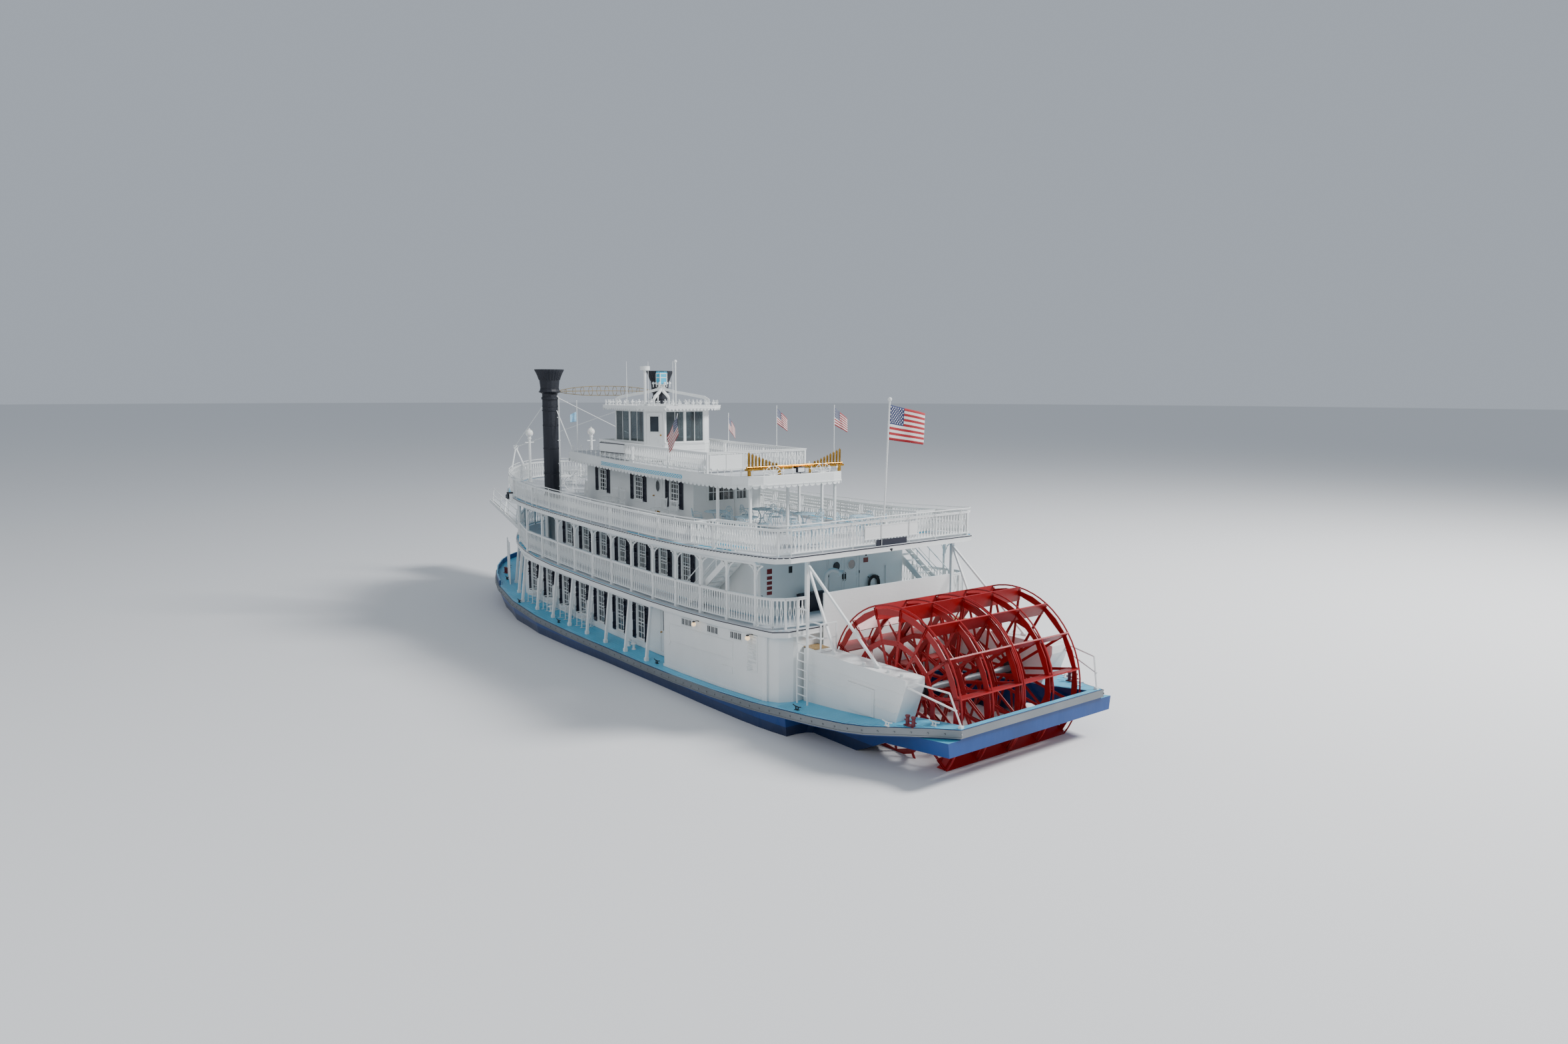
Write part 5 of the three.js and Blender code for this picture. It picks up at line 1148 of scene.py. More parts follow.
for u0, u1, z0, z1 in ((-0.34, 0.34, 7.95, 8.08), (-0.34, 0.34, 9.9, 10.02), (-0.34, -0.22, 8.08, 9.9),
                       (0.22, 0.34, 8.08, 9.9), (-0.22, 0.22, 8.98, 9.16)):
    on_leaf(u0, u1, z0, z1, -0.002, 0.012)
on_leaf(-0.19, 0.19, 9.2, 9.86, -0.001, 0.006, 2)
for u0, u1, z0, z1 in ((-0.21, 0.21, 9.17, 9.2), (-0.21, 0.21, 9.86, 9.89), (-0.215, -0.19, 9.17, 9.89),
                       (0.19, 0.215, 9.17, 9.89)):
    on_leaf(u0, u1, z0, z1, -0.001, 0.02)
on_leaf(-0.16, 0.16, 8.18, 8.86, -0.001, 0.008)
knob(leaf, *(corner + along * -0.28 + out * 0.01 + Vector((0, 0, 9.05))), tuple(out))
leaf.make("pilothouse_door_fittings", [white, brass, glass], "pilothouse_door", "white_paint")

# Chimneys: rolled iron with lapped seams and rivets, a fluted crown, a banded foot, and a brace down to the
# cabin roof on each side.
CHIMNEY_X, CHIMNEY_Y = 8.6, 3.03
stacks = Joinery()
flutes = 28
foot = deck(CHIMNEY_X) + THIRD
rivet_paths = []
for side in (1, -1):
    x, y = CHIMNEY_X, side * CHIMNEY_Y
    for z in (1.2, 2.4, 3.5, 4.4):
        stacks.turned([(0.355, 0), (0.368, 0.005), (0.368, 0.07), (0.355, 0.075)], (x, y, foot + z), 28)
        ring = [(x + u, y - v, foot + z + 0.035) for u, v in circle(36, 0.367)]
        rivet_paths.append(ring + ring[:1])
    for z, r in ((10.86, 0.52), (11.0, 0.45), (foot + 0.02, 0.44), (foot + 0.16, 0.44)):
        stacks.turned([(r - 0.05, 0), (r, 0.01), (r, 0.035), (r - 0.05, 0.045)], (x, y, z), 28)
    rows = [(0.476, 11.44), (0.536, 11.62), (0.606, 11.78), (0.672, 11.9), (0.672, 11.935)]
    loop = [(r, z, 0.02) for r, z in rows] + [(r - 0.04, z, 0.0) for r, z in reversed(rows)]
    rings = [[(r + (wave if k % 2 else -wave * 0.4), u, v, z) for k, (u, v) in enumerate(circle(2 * flutes))]
             for r, z, wave in loop]
    stacks.rings([[(x + r * u, y + r * v, z) for r, u, v, z in ring] for ring in rings], 0, closed=True)
    stacks.rod((8.28, side * 2.84, 10.0), (7.35, side * 2.42, 7.93), 0.024, 8, 1)
    stacks.turned([(0.37, 0), (0.382, 0.01), (0.382, 0.05), (0.37, 0.06)], (x, y, 9.97), 24)
stacks.make("chimney_bands", [black, white], "boat", "stack_black")
rivet = Joinery().turned([(0.014, 0), (0.012, 0.008), (0.0, 0.012)], (0, 0, 0), 6, 0, (0, 1, 0))
row("chimney_rivets", rivet_paths, rivet, 0.09, black)

# Foredeck lamp posts: an opal glass globe in a cup on a turned iron shaft, with a cross-arm. They stand in for
# the plain ones.
opal, opal_shader = mottled("opal_glass", 0.12, 2.0, rgb("dfe2df"), rgb("f4f4ee"))
opal_shader.inputs["Subsurface Weight"].default_value = 0.2
ARM = 8.2
cup = ((0.068, 8.36), (0.1, 8.38), (0.1, 8.44), (0.08, 8.46), (0.1, 8.52), (0.085, 8.53))
for side, node in ((1, "lamp_post_1"), (-1, "lamp_post_2")):
    post = Joinery()
    x, y = 13.95, side * 1.8
    foot = deck(x) + THIRD + 0.0003
    post.turned([(0.11, 0), (0.11, 0.05), (0.09, 0.07), (0.09, 0.28), (0.11, 0.3), (0.085, 0.4), (0.075, 0.6),
                 (0.09, 0.64), (0.075, 0.68), *((r, z - foot) for r, z in cup)], (x, y, foot), 12)
    post.turned(ball(0.2, 14), (x, y, 8.69), 24, 1)
    post.turned([(0.05, 0), (0.06, 0.02), (0.02, 0.05), (0.0, 0.08)], (x, y, 8.885), 12)
    post.rod((x, y - 0.22, ARM), (x, y + 0.22, ARM), 0.026, 8)
    for end in (-0.22, 0.22):
        post.turned([(0.0, -0.045), (0.042, 0), (0.0, 0.045)], (x, y + end, ARM), 8)
    post.make("lamp_post_" + ("port" if side > 0 else "starboard"), [white, opal], "boat", "white_paint", [node])

# Wall lamps along the main deckhouse: warm glass globes, each under a small steel shade, on short brackets
# that are screwed to the wall near its head.
warm, warm_shader = mottled("warm_globe", 0.2, 3.0, rgb("e0b98a"), rgb("f3d9b0"))
warm_shader.inputs["Emission Color"].default_value = (1.0, 0.72, 0.42, 1)
warm_shader.inputs["Emission Strength"].default_value = 1.2
lamps = Joinery()
for x in (8.7, 6.18, 3.66, 1.14, -1.38, -3.4, -6.9, -10.2):
    for side in (1, -1):
        face = 3.95 if x > -4 else 4.66
        y = side * (face + 0.2)
        z = deck(x) + 2.06
        lamps.turned(ball(0.085), (x, y, z), 16, 1)
        lamps.turned([(0.05, 0), (0.055, 0.03), (0.02, 0.05)], (x, y, z + 0.07), 12)
        lamps.rod((x, y, z + 0.1), (x, side * (face - 0.004), z + 0.1), 0.012, 8)
        lamps.turned([(0.045, 0), (0.04, 0.015), (0.0, 0.02)], (x, side * face, z + 0.1), 10, 0, (0, side, 0))
lamps.make("wall_lamps", [dark_steel, warm], "boat", "steel")

# Flags of woven bunting, sewn in stripes with a starred corner, and a plain pale blue pennant on a thin pole.
# Each hangs by its hoist from its pole, at the stern, on the roof's balustrade or at the roof's edge.


def cloth_coat():
    """Bunting: thirteen stripes across the fly and a blue corner with white stars, by the cloth's own map."""
    coat, shader = finish_coat("flag_cloth", 0.82)
    nodes, links = coat.node_tree.nodes, coat.node_tree.links

    def sum_of(kind, a, b=None, c=None):
        node = nodes.new("ShaderNodeMath")
        node.operation = kind
        for socket, value in zip(node.inputs, (a, b, c)):
            if value is None:
                continue
            if isinstance(value, (int, float)):
                socket.default_value = value
            else:
                links.new(value, socket)
        return node.outputs[0]

    place = nodes.new("ShaderNodeUVMap")
    place.uv_map = "cloth"
    split = nodes.new("ShaderNodeSeparateXYZ")
    links.new(place.outputs[0], split.inputs[0])
    u, v = split.outputs[0], split.outputs[1]
    stripe = sum_of("LESS_THAN", sum_of("MODULO", sum_of("FLOOR", sum_of("MULTIPLY", v, 13)), 2), 0.5)
    corner = sum_of("MULTIPLY", sum_of("LESS_THAN", u, 0.4), sum_of("GREATER_THAN", v, 6 / 13))
    across = sum_of("MULTIPLY", u, 12 / 0.4)
    height = sum_of("MULTIPLY", sum_of("SUBTRACT", v, 6 / 13), 10 * 13 / 7)
    stars = None
    for shift in (0.0, 1.0):
        parts = []
        for value in (across, height):
            off = sum_of("SUBTRACT", sum_of("FRACT", sum_of("MULTIPLY", sum_of("ADD", value, shift), 0.5)), 0.5)
            parts.append(sum_of("MULTIPLY", off, off))
        dot = sum_of("LESS_THAN", sum_of("ADD", *parts), 0.035)
        stars = dot if stars is None else sum_of("MAXIMUM", stars, dot)
    inside = sum_of("MULTIPLY", sum_of("LESS_THAN", sum_of("ABSOLUTE", sum_of("SUBTRACT", across, 6)), 5.5),
                    sum_of("LESS_THAN", sum_of("ABSOLUTE", sum_of("SUBTRACT", height, 5)), 4.5))
    stars = sum_of("MULTIPLY", stars, inside)

    def between(factor, low_colour, high_colour):
        mix = nodes.new("ShaderNodeMix")
        mix.data_type = "RGBA"
        links.new(factor, mix.inputs["Factor"])
        for socket, value in ((mix.inputs[6], low_colour), (mix.inputs[7], high_colour)):
            if isinstance(value, tuple):
                socket.default_value = value
            else:
                links.new(value, socket)
        return mix.outputs[2]

    stripes = between(stripe, (*rgb("dcdcd8"), 1), (*rgb("a3121f"), 1))
    starry = between(stars, (*rgb("122558"), 1), (*rgb("dcdcd8"), 1))
    links.new(between(corner, stripes, starry), shader.inputs["Base Color"])
    weave = nodes.new("ShaderNodeTexNoise")
    weave.inputs["Scale"].default_value = 60
    where = nodes.new("ShaderNodeTexCoord")
    links.new(where.outputs["Object"], weave.inputs["Vector"])
    relief(coat, shader, weave.outputs["Fac"], 0.25)
    shader.inputs["Sheen Weight"].default_value = 0.2
    return coat


bunting = cloth_coat()


def flag(name, pole, hoist, fly, droop, narrow, wave, across=None, coat=None):
    """A flag as a wavy sheet of cloth from its pole: the pole's x, y, radius and lean, and the hoist's heights."""
    px, py, radius, lean = pole
    low, top = hoist
    length = math.hypot(*fly)
    ux, uy = fly[0] / length, fly[1] / length
    slope = lean if across is None else across
    start = radius * math.hypot(1, lean) + 0.0006 if across is None else 0.0
    beside = 0.0 if across is None else radius + 0.0076
    columns, rows, thick = 32, 16, 0.003
    points, faces, places = [], [], []
    for face in (-1, 1):
        for i in range(columns + 1):
            t = i / columns
            for j in range(rows + 1):
                v = j / rows
                end = low + (top - low) * v
                bend = beside + wave * math.sin(t * 2.2 * math.pi) * math.sqrt(t)
                bend += 0.007 * t * math.sin(17 * t + 3.5 * v) + face * thick / 2
                points.append((px + ux * start + fly[0] * t - uy * bend + slope * (top - end),
                               py + uy * start + fly[1] * t + ux * bend,
                               (low + top) / 2 + (end - (low + top) / 2) * (1 - (1 - narrow) * t) - droop * t))
    size = (columns + 1) * (rows + 1)
    at = lambda face, i, j: face * size + i * (rows + 1) + j
    for i in range(columns):
        for j in range(rows):
            faces.append((at(1, i, j), at(1, i, j + 1), at(1, i + 1, j + 1), at(1, i + 1, j)))
            faces.append((at(0, i, j), at(0, i + 1, j), at(0, i + 1, j + 1), at(0, i, j + 1)))
    for i in range(columns):
        faces.append((at(0, i, 0), at(1, i, 0), at(1, i + 1, 0), at(0, i + 1, 0)))
        faces.append((at(0, i, rows), at(0, i + 1, rows), at(1, i + 1, rows), at(1, i, rows)))
    for j in range(rows):
        faces.append((at(0, 0, j), at(0, 0, j + 1), at(1, 0, j + 1), at(1, 0, j)))
        faces.append((at(0, columns, j), at(1, columns, j), at(1, columns, j + 1), at(0, columns, j + 1)))
    mesh = bpy.data.meshes.new(name)
    mesh.from_pydata(points, [], faces)
    mesh.materials.append(coat or bunting)
    chart = mesh.uv_layers.new(name="cloth")
    for loop in mesh.loops:
        spot = loop.vertex_index % size
        chart.data[loop.index].uv = (spot // (rows + 1) / columns, spot % (rows + 1) / rows)
    whole = bmesh.new()
    whole.from_mesh(mesh)
    bmesh.ops.recalc_face_normals(whole, faces=whole.faces)
    whole.to_mesh(mesh)
    whole.free()
    mesh.polygons.foreach_set("use_smooth", [True] * len(mesh.polygons))
    piece = bpy.data.objects.new(name, mesh)
    bpy.context.scene.collection.objects.link(piece)
    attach(piece, "boat")
    if coat is None:
        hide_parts(name.replace("cloth", "flag").replace("flag_stern", "flag_main"))


flag("cloth_stern", (-11.683, 0.0, 0.03, 0.0506), (9.37, 10.56), (-0.16, -1.54), 0.26, 0.92, 0.06)
RAIL_POLE = 0.016
flag("cloth_1", (-1.98, 2.45, RAIL_POLE, 0.34), (9.25, 9.96), (0.62, 0.06), 0.8, 0.95, 0.025,
     -0.2)
flag("cloth_2", (1.55, -2.45, RAIL_POLE, 0.0), (9.25, 9.85), (0.08, -0.42), 0.56, 0.75, 0.025)
flag("cloth_3", (-2.1, -2.45, RAIL_POLE, 0.0), (9.6, 10.25), (-0.06, -0.52), 0.42, 0.8, 0.025)
pale_bunting, _ = mottled("pennant_blue", 0.85, 9.0, rgb("7fb6d8"), rgb("a9d0e6"))
pennant_pole = Joinery()
pennant_foot = deck(7.26) + ROOF
pennant_pole.turned([(0.05, 0), (0.05, 0.02), (0.022, 0.04), (0.02, 10.44 - pennant_foot),
                     (0.032, 10.46 - pennant_foot), (0.0, 10.5 - pennant_foot)], (7.26, 2.3, pennant_foot), 8)
pennant_pole.make("pennant_pole", [white])
flag("pennant", (7.26, 2.3, 0.021, 0.0), (9.5, 9.97), (0.06, 0.3), 0.1, 0.75, 0.03,
     coat=pale_bunting)
flag("cloth_4", (-5.9, -2.45, RAIL_POLE, 0.0), (9.65, 10.33), (-0.08, -0.62), 0.38, 0.8, 0.025)

# The calliope: a turned brass whistle on each pipe, with its mouth and its bell, over a brass steam main that
# runs along the stand. A steel valve on the main opens each one.
pipes = Joinery()
x = -6.52
stand = deck(x) + ROOF
pipes.rod((x, -2.34, stand + 0.34), (x, 2.27, stand + 0.34), 0.045, 14)
for i in range(9):
    for y in (0.9 + 0.158 * i, -0.96 - 0.158 * i):
        head = stand + 0.42 + 0.058 * i
        pipes.turned([(0.02, 0), (0.02, 0.05), (0.042, 0.07), (0.042, 0.1), (0.038, 0.105), (0.038, 0.125),
                      (0.042, 0.13), (0.042, head - stand - 0.36), (0.03, head - stand - 0.33),
                      (0.01, head - stand - 0.32), (0.01, head - stand - 0.29), (0.0, head - stand - 0.285)],
                      (x, y, stand + 0.33), 14)
        pipes.board((x - 0.11, x - 0.06), (y - 0.012, y + 0.012), (stand + 0.31, stand + 0.35), 1)
pipes.make("calliope_bells", [brass, dark_steel], "boat", "brass")

# The upper cabin's after wall: two windows of small panes in painted timber frames, with nailed corner boards
# and a skirting along the foot.
aft_joinery = Joinery()
wall = -1.952
base = deck(-1.95)
for y0, y1, columns in ((-0.32, 0.96, 5), (-0.96, -0.4, 3)):
    low, high = base + 5.83, base + 6.49
    aft_joinery.board((wall - 0.024, wall + 0.03), (y0 - 0.07, y1 + 0.07), (high, high + 0.08))
    aft_joinery.board((wall - 0.05, wall + 0.03), (y0 - 0.09, y1 + 0.09), (low - 0.06, low))
    for a, b in ((y0 - 0.07, y0), (y1, y1 + 0.07)):
        aft_joinery.board((wall - 0.024, wall + 0.03), (a, b), (low, high))
    for a, b in ((y0, y0 + 0.03), (y1 - 0.03, y1)):
        aft_joinery.board((wall, wall + 0.04), (a, b), (low, high))
    for k in range(1, columns):
        at = y0 + (y1 - y0) * k / columns
        aft_joinery.board((wall + 0.004, wall + 0.034), (at - 0.012, at + 0.012), (low, high))
    aft_joinery.board((wall + 0.004, wall + 0.034), (y0, y1), ((low + high) / 2 - 0.012, (low + high) / 2 + 0.012))
    aft_joinery.board((wall + 0.018, wall + 0.026), (y0, y1), (low, high), 1)
aft_joinery.board((wall + 0.002, wall + 0.05), (-0.4, -0.32), (base + 5.83, base + 6.49))
for y in (-1.7, 1.64):
    aft_joinery.board((wall - 0.012, wall + 0.01), (y, y + 0.06), (base + 4.82, base + 7.0))
aft_joinery.board((wall - 0.012, wall + 0.01), (-1.7, 1.7), (base + 4.82, base + 4.95))
aft_joinery.make("after_windows", [white, glass])

# Fittings on the saloon's after wall: blank enamel plates, a bell-mouthed cowl pipe, a hose rack with its
# coil, a covered locker, hinge straps, a valve, and a lamp under the deck edge over the wheel.
fittings = Joinery()
wall = -8.932
floor = deck(-8.93) + SECOND
for z in (3.98, 4.16, 4.34, 4.52, 4.72):
    fittings.board((wall - 0.006, wall + 0.002), (2.9, 3.12), (z - 0.06, z + 0.06 if z < 4.6 else z + 0.12), 1)
fittings.board((wall - 0.006, wall + 0.002), (2.0, 2.16), (4.6, 4.84), 2)
fittings.board((wall - 0.006, wall + 0.002), (-1.62, -1.38), (4.62, 4.8), 1)
fittings.board((wall - 0.006, wall + 0.002), (-1.55, -1.47), (4.86, 4.93), 2)
for y0, y1 in ((0.34, 0.4), (-1.24, -1.18), (-0.43, -0.41)):
    fittings.board((wall - 0.014 if y0 != -0.43 else wall - 0.001, wall + 0.002), (y0, y1), (floor + 0.02, 5.28))
fittings.board((wall - 0.02, wall + 0.002), (-1.24, 0.4), (5.28, 5.36))
for z in (3.55, 4.3, 5.0):
    for y in (0.33, -1.17):
        fittings.rod((wall - 0.022, y, z - 0.05), (wall - 0.022, y, z + 0.05), 0.014, 8, 2)
bend = [(-9.6, 1.0, floor + 0.01), (-9.6, 1.0, floor + 1.28), (-9.62, 0.97, floor + 1.4),
        (-9.68, 0.88, floor + 1.5), (-9.74, 0.78, floor + 1.52), (-9.8, 0.68, floor + 1.5),
        (-9.86, 0.58, floor + 1.42)]
fittings.run(bend, 0.15, 0.15, 0, sides=14)
mouth = Vector((-0.35, -0.55, -0.5)).normalized()
fittings.turned([(0.07, 0), (0.12, 0.07), (0.15, 0.12), (0.14, 0.12), (0.07, 0.03)], (-9.84, 0.62, floor + 1.45),
                18, 0, mouth)
fittings.turned([(0.19, 0), (0.19, 0.02), (0.12, 0.06), (0.1, 0.06)], (-9.6, 1.0, floor + 0.004), 18)
fittings.rod((wall - 0.04, -2.5, 3.5), (wall - 0.04, -2.5, 4.4), 0.02, 8)
for y in (-1.62, -1.9, -2.1):
    fittings.rod((wall - 0.12, y, 4.0), (wall + 0.001, y, 4.06), 0.014, 6, 2)
fittings.turned([(0.0, 0), (0.04, 0.005), (0.04, 0.03), (0.02, 0.035), (0.02, 0.1), (0.0, 0.105)],
                (wall, 3.35, 3.9), 12, 2, (-1, 0, 0))
fittings.turned([(0.03, 0), (0.11, 0.02), (0.12, 0.1), (0.04, 0.18), (0.0, 0.19)],
                (-11.62, -0.17, deck(-11.62) + 4.58), 14, 2)
fittings.make("after_wall_fittings", [white, paint("sign_red", "7a1a1f", 0.35, 0.1), dark_steel])
hose = Joinery()
for k in range(4):
    r = 0.2 + 0.028 * k
    rings = []
    for c, s in circle(24):
        px, py, pz = wall - 0.07 - 0.02 * (k % 2), -1.86 + r * c, 3.78 + 1.15 * r * s
        rings.append([(px + v, py + u * c, pz + u * s) for u, v in circle(6, 0.024)])
    hose.rings(rings, 0, closed=True)
hose.make("hose_coil", [dark_steel], "boat", "steel")
locker = Joinery()
locker.rings([[(-9.4, 0.77, z), (-9.1, 0.75, z), (-9.1, 1.9, z), (-9.4, 1.88, z)]
              for z in (floor + 0.004, floor + 0.6)])
locker.rings([[(x0, y0, floor + z), (x1, y0, floor + z), (x1, y1, floor + z), (x0, y1, floor + z)]
              for x0, x1, y0, y1, z in ((-9.41, -9.09, 0.74, 1.91, 0.6), (-9.42, -9.08, 0.73, 1.92, 0.66),
                                        (-9.36, -9.14, 0.8, 1.85, 0.7))])
locker.make("deck_locker", [navy], "boat", "stack_black")

# Cast-iron garden furniture under the awning roof: pierced round tables on three curled legs and chairs with
# looped backs, painted pale blue. The same, painted white, stand on the foredecks.
iron, _ = mottled("pale_iron", 0.4, 5, rgb("9dbccb"), rgb("c3d6de"))
chair = Joinery()
chair.turned([(0.2, 0.0), (0.215, 0.008), (0.215, 0.02), (0.2, 0.026), (0.0, 0.026)], (0, 0, 0.43), 14)
for a in (0.8, 2.35, 3.95, 5.5):
    c, d = math.cos(a), math.sin(a)
    chair.run([(0.17 * c, 0.17 * d, 0.43), (0.12 * c, 0.12 * d, 0.28), (0.19 * c, 0.19 * d, 0.1),
               (0.25 * c, 0.25 * d, 0.0)], 0.022, 0.022, sides=5)
back = Vector((-0.19, 0, 0))
lean = Vector((-0.18, 0, 1))
hoop_points = [back + Vector((0, 0.2 * math.cos(a), 0.46)) + lean * 0.38 * math.sin(a) for a in
               (math.pi * k / 12 for k in range(13))]
chair.run([tuple(p) for p in hoop_points], 0.024, 0.024, sides=6)
for v, w, r in ((0.0, 0.16, 0.085), (-0.1, 0.1, 0.05), (0.1, 0.1, 0.05), (0.0, 0.3, 0.05), (-0.09, 0.22, 0.04),
                (0.09, 0.22, 0.04)):
    loop_of(chair, back + Vector((0, v, 0.46)) + lean * w, (0, 1, 0), lean, r, 0.009, count=10)
for side in (-1, 1):
    chair.run([(-0.24, side * 0.19, 0.66), (-0.06, side * 0.25, 0.67), (0.13, side * 0.22, 0.62),
               (0.15, side * 0.18, 0.45)], 0.022, 0.022, sides=5)
table = Joinery()
table.turned([(0.44, 0.0), (0.46, 0.012), (0.46, 0.03), (0.44, 0.036), (0.0, 0.03)], (0, 0, 0.7), 24)
for u, v in circle(12, 0.35):
    loop_of(table, (u, v, 0.738), (1, 0, 0), (0, 1, 0), 0.07, 0.008, count=8)
for c, d in circle(3):
    table.run([(0.3 * c, 0.3 * d, 0.7), (0.1 * c, 0.1 * d, 0.5), (0.06 * c, 0.06 * d, 0.3),
               (0.2 * c, 0.2 * d, 0.1), (0.32 * c, 0.32 * d, 0.0)], 0.03, 0.03, sides=6)
loop_of(table, (0, 0, 0.34), (1, 0, 0), (0, 1, 0), 0.1, 0.012)


def seated(work, tables, level):
    """Sets down tables on a deck, each with its chairs evenly round it: x, y, chairs and the first one's angle."""
    for x, y, seats, turned_by in tables:
        work.placed(table, x, y, deck(x) + level + 0.003)
        for k in range(seats):
            a = turned_by + 2 * math.pi * k / seats
            sx, sy = x + 0.72 * math.cos(a), y + 0.72 * math.sin(a)
            work.placed(chair, sx, sy, deck(sx) + level + 0.003, a + math.pi)


terrace, foredeck_set = Joinery(), Joinery()
seated(terrace, ((-3.4, -0.7, 4, 0.4), (-5.7, -1.1, 4, 0.1), (-3.0, 1.3, 3, 0.9), (-5.3, 1.4, 3, 0.2),
                 (-8.2, -1.9, 4, 0.5), (-9.6, 1.6, 4, 0.0)), THIRD)
terrace.make("terrace_furniture", [iron])
seated(foredeck_set, ((10.9, 1.4, 4, 0.3), (10.9, -1.6, 4, 0.8), (12.6, 0.1, 4, 0.5)), THIRD)
seated(foredeck_set, ((10.2, 1.7, 4, 0.3), (10.3, -1.7, 4, 0.9)), SECOND)
foredeck_set.make("foredeck_furniture", [white])

# White rocking chairs on the promenades and slatted benches along the starboard rail, of painted timber,
# jointed and screwed. They stand loose on the decks.
rocker = Joinery()
for side in (-1, 1):
    y = side * 0.25
    rocker.run([(-0.42, y, 0.05), (-0.2, y, 0.012), (0.05, y, 0.004), (0.3, y, 0.03)], 0.03, 0.025, sides=6)
    rocker.rod((-0.2, y, 0.01), (-0.3, y * 1.02, 1.1), 0.018, 8)
    rocker.rod((0.22, y, 0.02), (0.2, y, 0.62), 0.018, 8)
    rocker.board((-0.27, 0.26), (y - 0.035, y + 0.035), (0.62, 0.645))
    rocker.rod((-0.21, y, 0.2), (0.21, y, 0.2), 0.011, 6)
for k in range(6):
    rocker.board((-0.23 + 0.08 * k, -0.16 + 0.08 * k), (-0.26, 0.26), (0.395, 0.415))
for z in (0.46, 1.02):
    rocker.rings([[(-0.25 - (z - 0.46) * 0.09 + u, y, z + w)
                   for u, w in ((-0.012, -0.03), (0.012, -0.03), (0.012, 0.03), (-0.012, 0.03))]
                  for y in (-0.25, 0.25)])
for k in range(7):
    y = -0.195 + 0.065 * k
    rocker.rod((-0.25, y, 0.47), (-0.3, y, 1.02), 0.012, 6)
promenade = Joinery()
for x, y, turn in ((3.15, 2.45, 1.5), (3.95, 2.4, 1.6), (-0.4, 2.45, 1.5), (-1.3, 2.5, 1.7), (6.6, 2.5, 1.4)):
    for side in (1, -1):
        promenade.placed(rocker, x, side * y, deck(x) + THIRD + 0.003, side * turn)
for x, y, turn in ((7.96, 4.37, 1.57), (6.3, 4.37, 1.5), (4.5, 4.35, 1.6), (2.8, 4.37, 1.55)):
    for side in (1, -1):
        promenade.placed(rocker, x, side * y, deck(x) + 0.003, side * turn)
promenade.make("rocking_chairs", [white])
bench = Joinery()
for k in range(5):
    bench.board((-0.85, 0.85), (-0.2 + 0.085 * k, -0.13 + 0.085 * k), (0.42, 0.445))
for k in range(3):
    bench.rings([[(x, -0.24 - 0.03 * k + u, 0.55 + 0.13 * k + w)
                  for u, w in ((-0.012, -0.045), (0.012, -0.045), (0.012, 0.045), (-0.012, 0.045))]
                 for x in (-0.85, 0.85)])
for x in (-0.78, 0.0, 0.78):
    bench.board((x - 0.02, x + 0.02), (-0.22, 0.22), (0.385, 0.42))
    bench.rod((x, 0.19, 0.0), (x, 0.17, 0.39), 0.02, 8)
    bench.rod((x, -0.2, 0.0), (x, -0.31, 0.86), 0.02, 8)
benches = Joinery()
for x in (-10.4, -6.3, -4.3, -2.3, -0.3, 1.7, 3.7):
    benches.placed(bench, x, -4.25, deck(x) + THIRD + 0.003)
for x in (-5.6, -3.6, 0.4, 2.4, 4.4):
    benches.placed(bench, x, -3.75, deck(x) + SECOND + 0.003)
benches.make("promenade_benches", [white])

# Blank painted boards where the boat carries its lettering, screwed to the rails, an eight-sided plate on the
# deckhouse, a floodlight on its post, and fans of thin rods on the roof's after edge.
boards = Joinery()
boards.board((2.42, 4.64), (2.44, 2.47), (8.24, 8.62))
for z in (8.22, 8.62):
    boards.board((2.4, 4.66), (2.44, 2.484), (z, z + 0.03), 1)
boards.board((-4.135, -4.1), (0.7, 2.34), (deck(-4.1) + 7.3, deck(-4.1) + 7.88))
for y in (0.72, 1.52, 2.3):
    boards.board((-4.15, -4.1), (y - 0.03, y + 0.03), (deck(-4.1) + 7.28, deck(-4.1) + 7.9))
after = -11.62
boards.board((after - 0.02, after + 0.005), (-1.49, 0.99), (6.02, 6.46))
for z in (6.0, 6.45):
    boards.board((after - 0.03, after + 0.005), (-1.52, 1.02), (z, z + 0.03))
boards.board((after - 0.02, after + 0.005), (-0.97, 0.46), (5.74, 5.96), 1)
oct_ring = [(0.22 * math.cos(math.pi / 8 + math.pi * k / 4), 0.22 * math.sin(math.pi / 8 + math.pi * k / 4))
            for k in range(8)]
boards.plate(oct_ring, 0.02, (-4.78, 4.67, 1.75), along=-1)
RAIL_X = -6.72
roof = deck(RAIL_X) + ROOF
for side in (1, -1):
    spoke = lambda degrees: Vector((RAIL_X, side * 1.2 + 0.42 * math.cos(math.radians(degrees)),
                                    roof + 0.01 + 0.36 * math.sin(math.radians(degrees))))
    for k in range(7):
        boards.rod((RAIL_X, side * 1.2, roof + 0.01), spoke(18 + 24 * k), 0.014, 6)
    boards.run([spoke(18 + 12 * k) for k in range(13)], 0.024, 0.024, sides=6)
boards.board((-6.78, -6.66), (-0.28, 0.08), (roof + 0.07, roof + 0.29), 1)
boards.board((-6.785, -6.775), (-0.25, 0.05), (roof + 0.1, roof + 0.26))
boards.rod((-6.7, -0.1, roof), (-6.7, -0.1, roof + 0.13), 0.02, 8, 1)
boards.make("boards_and_fans", [white, navy])

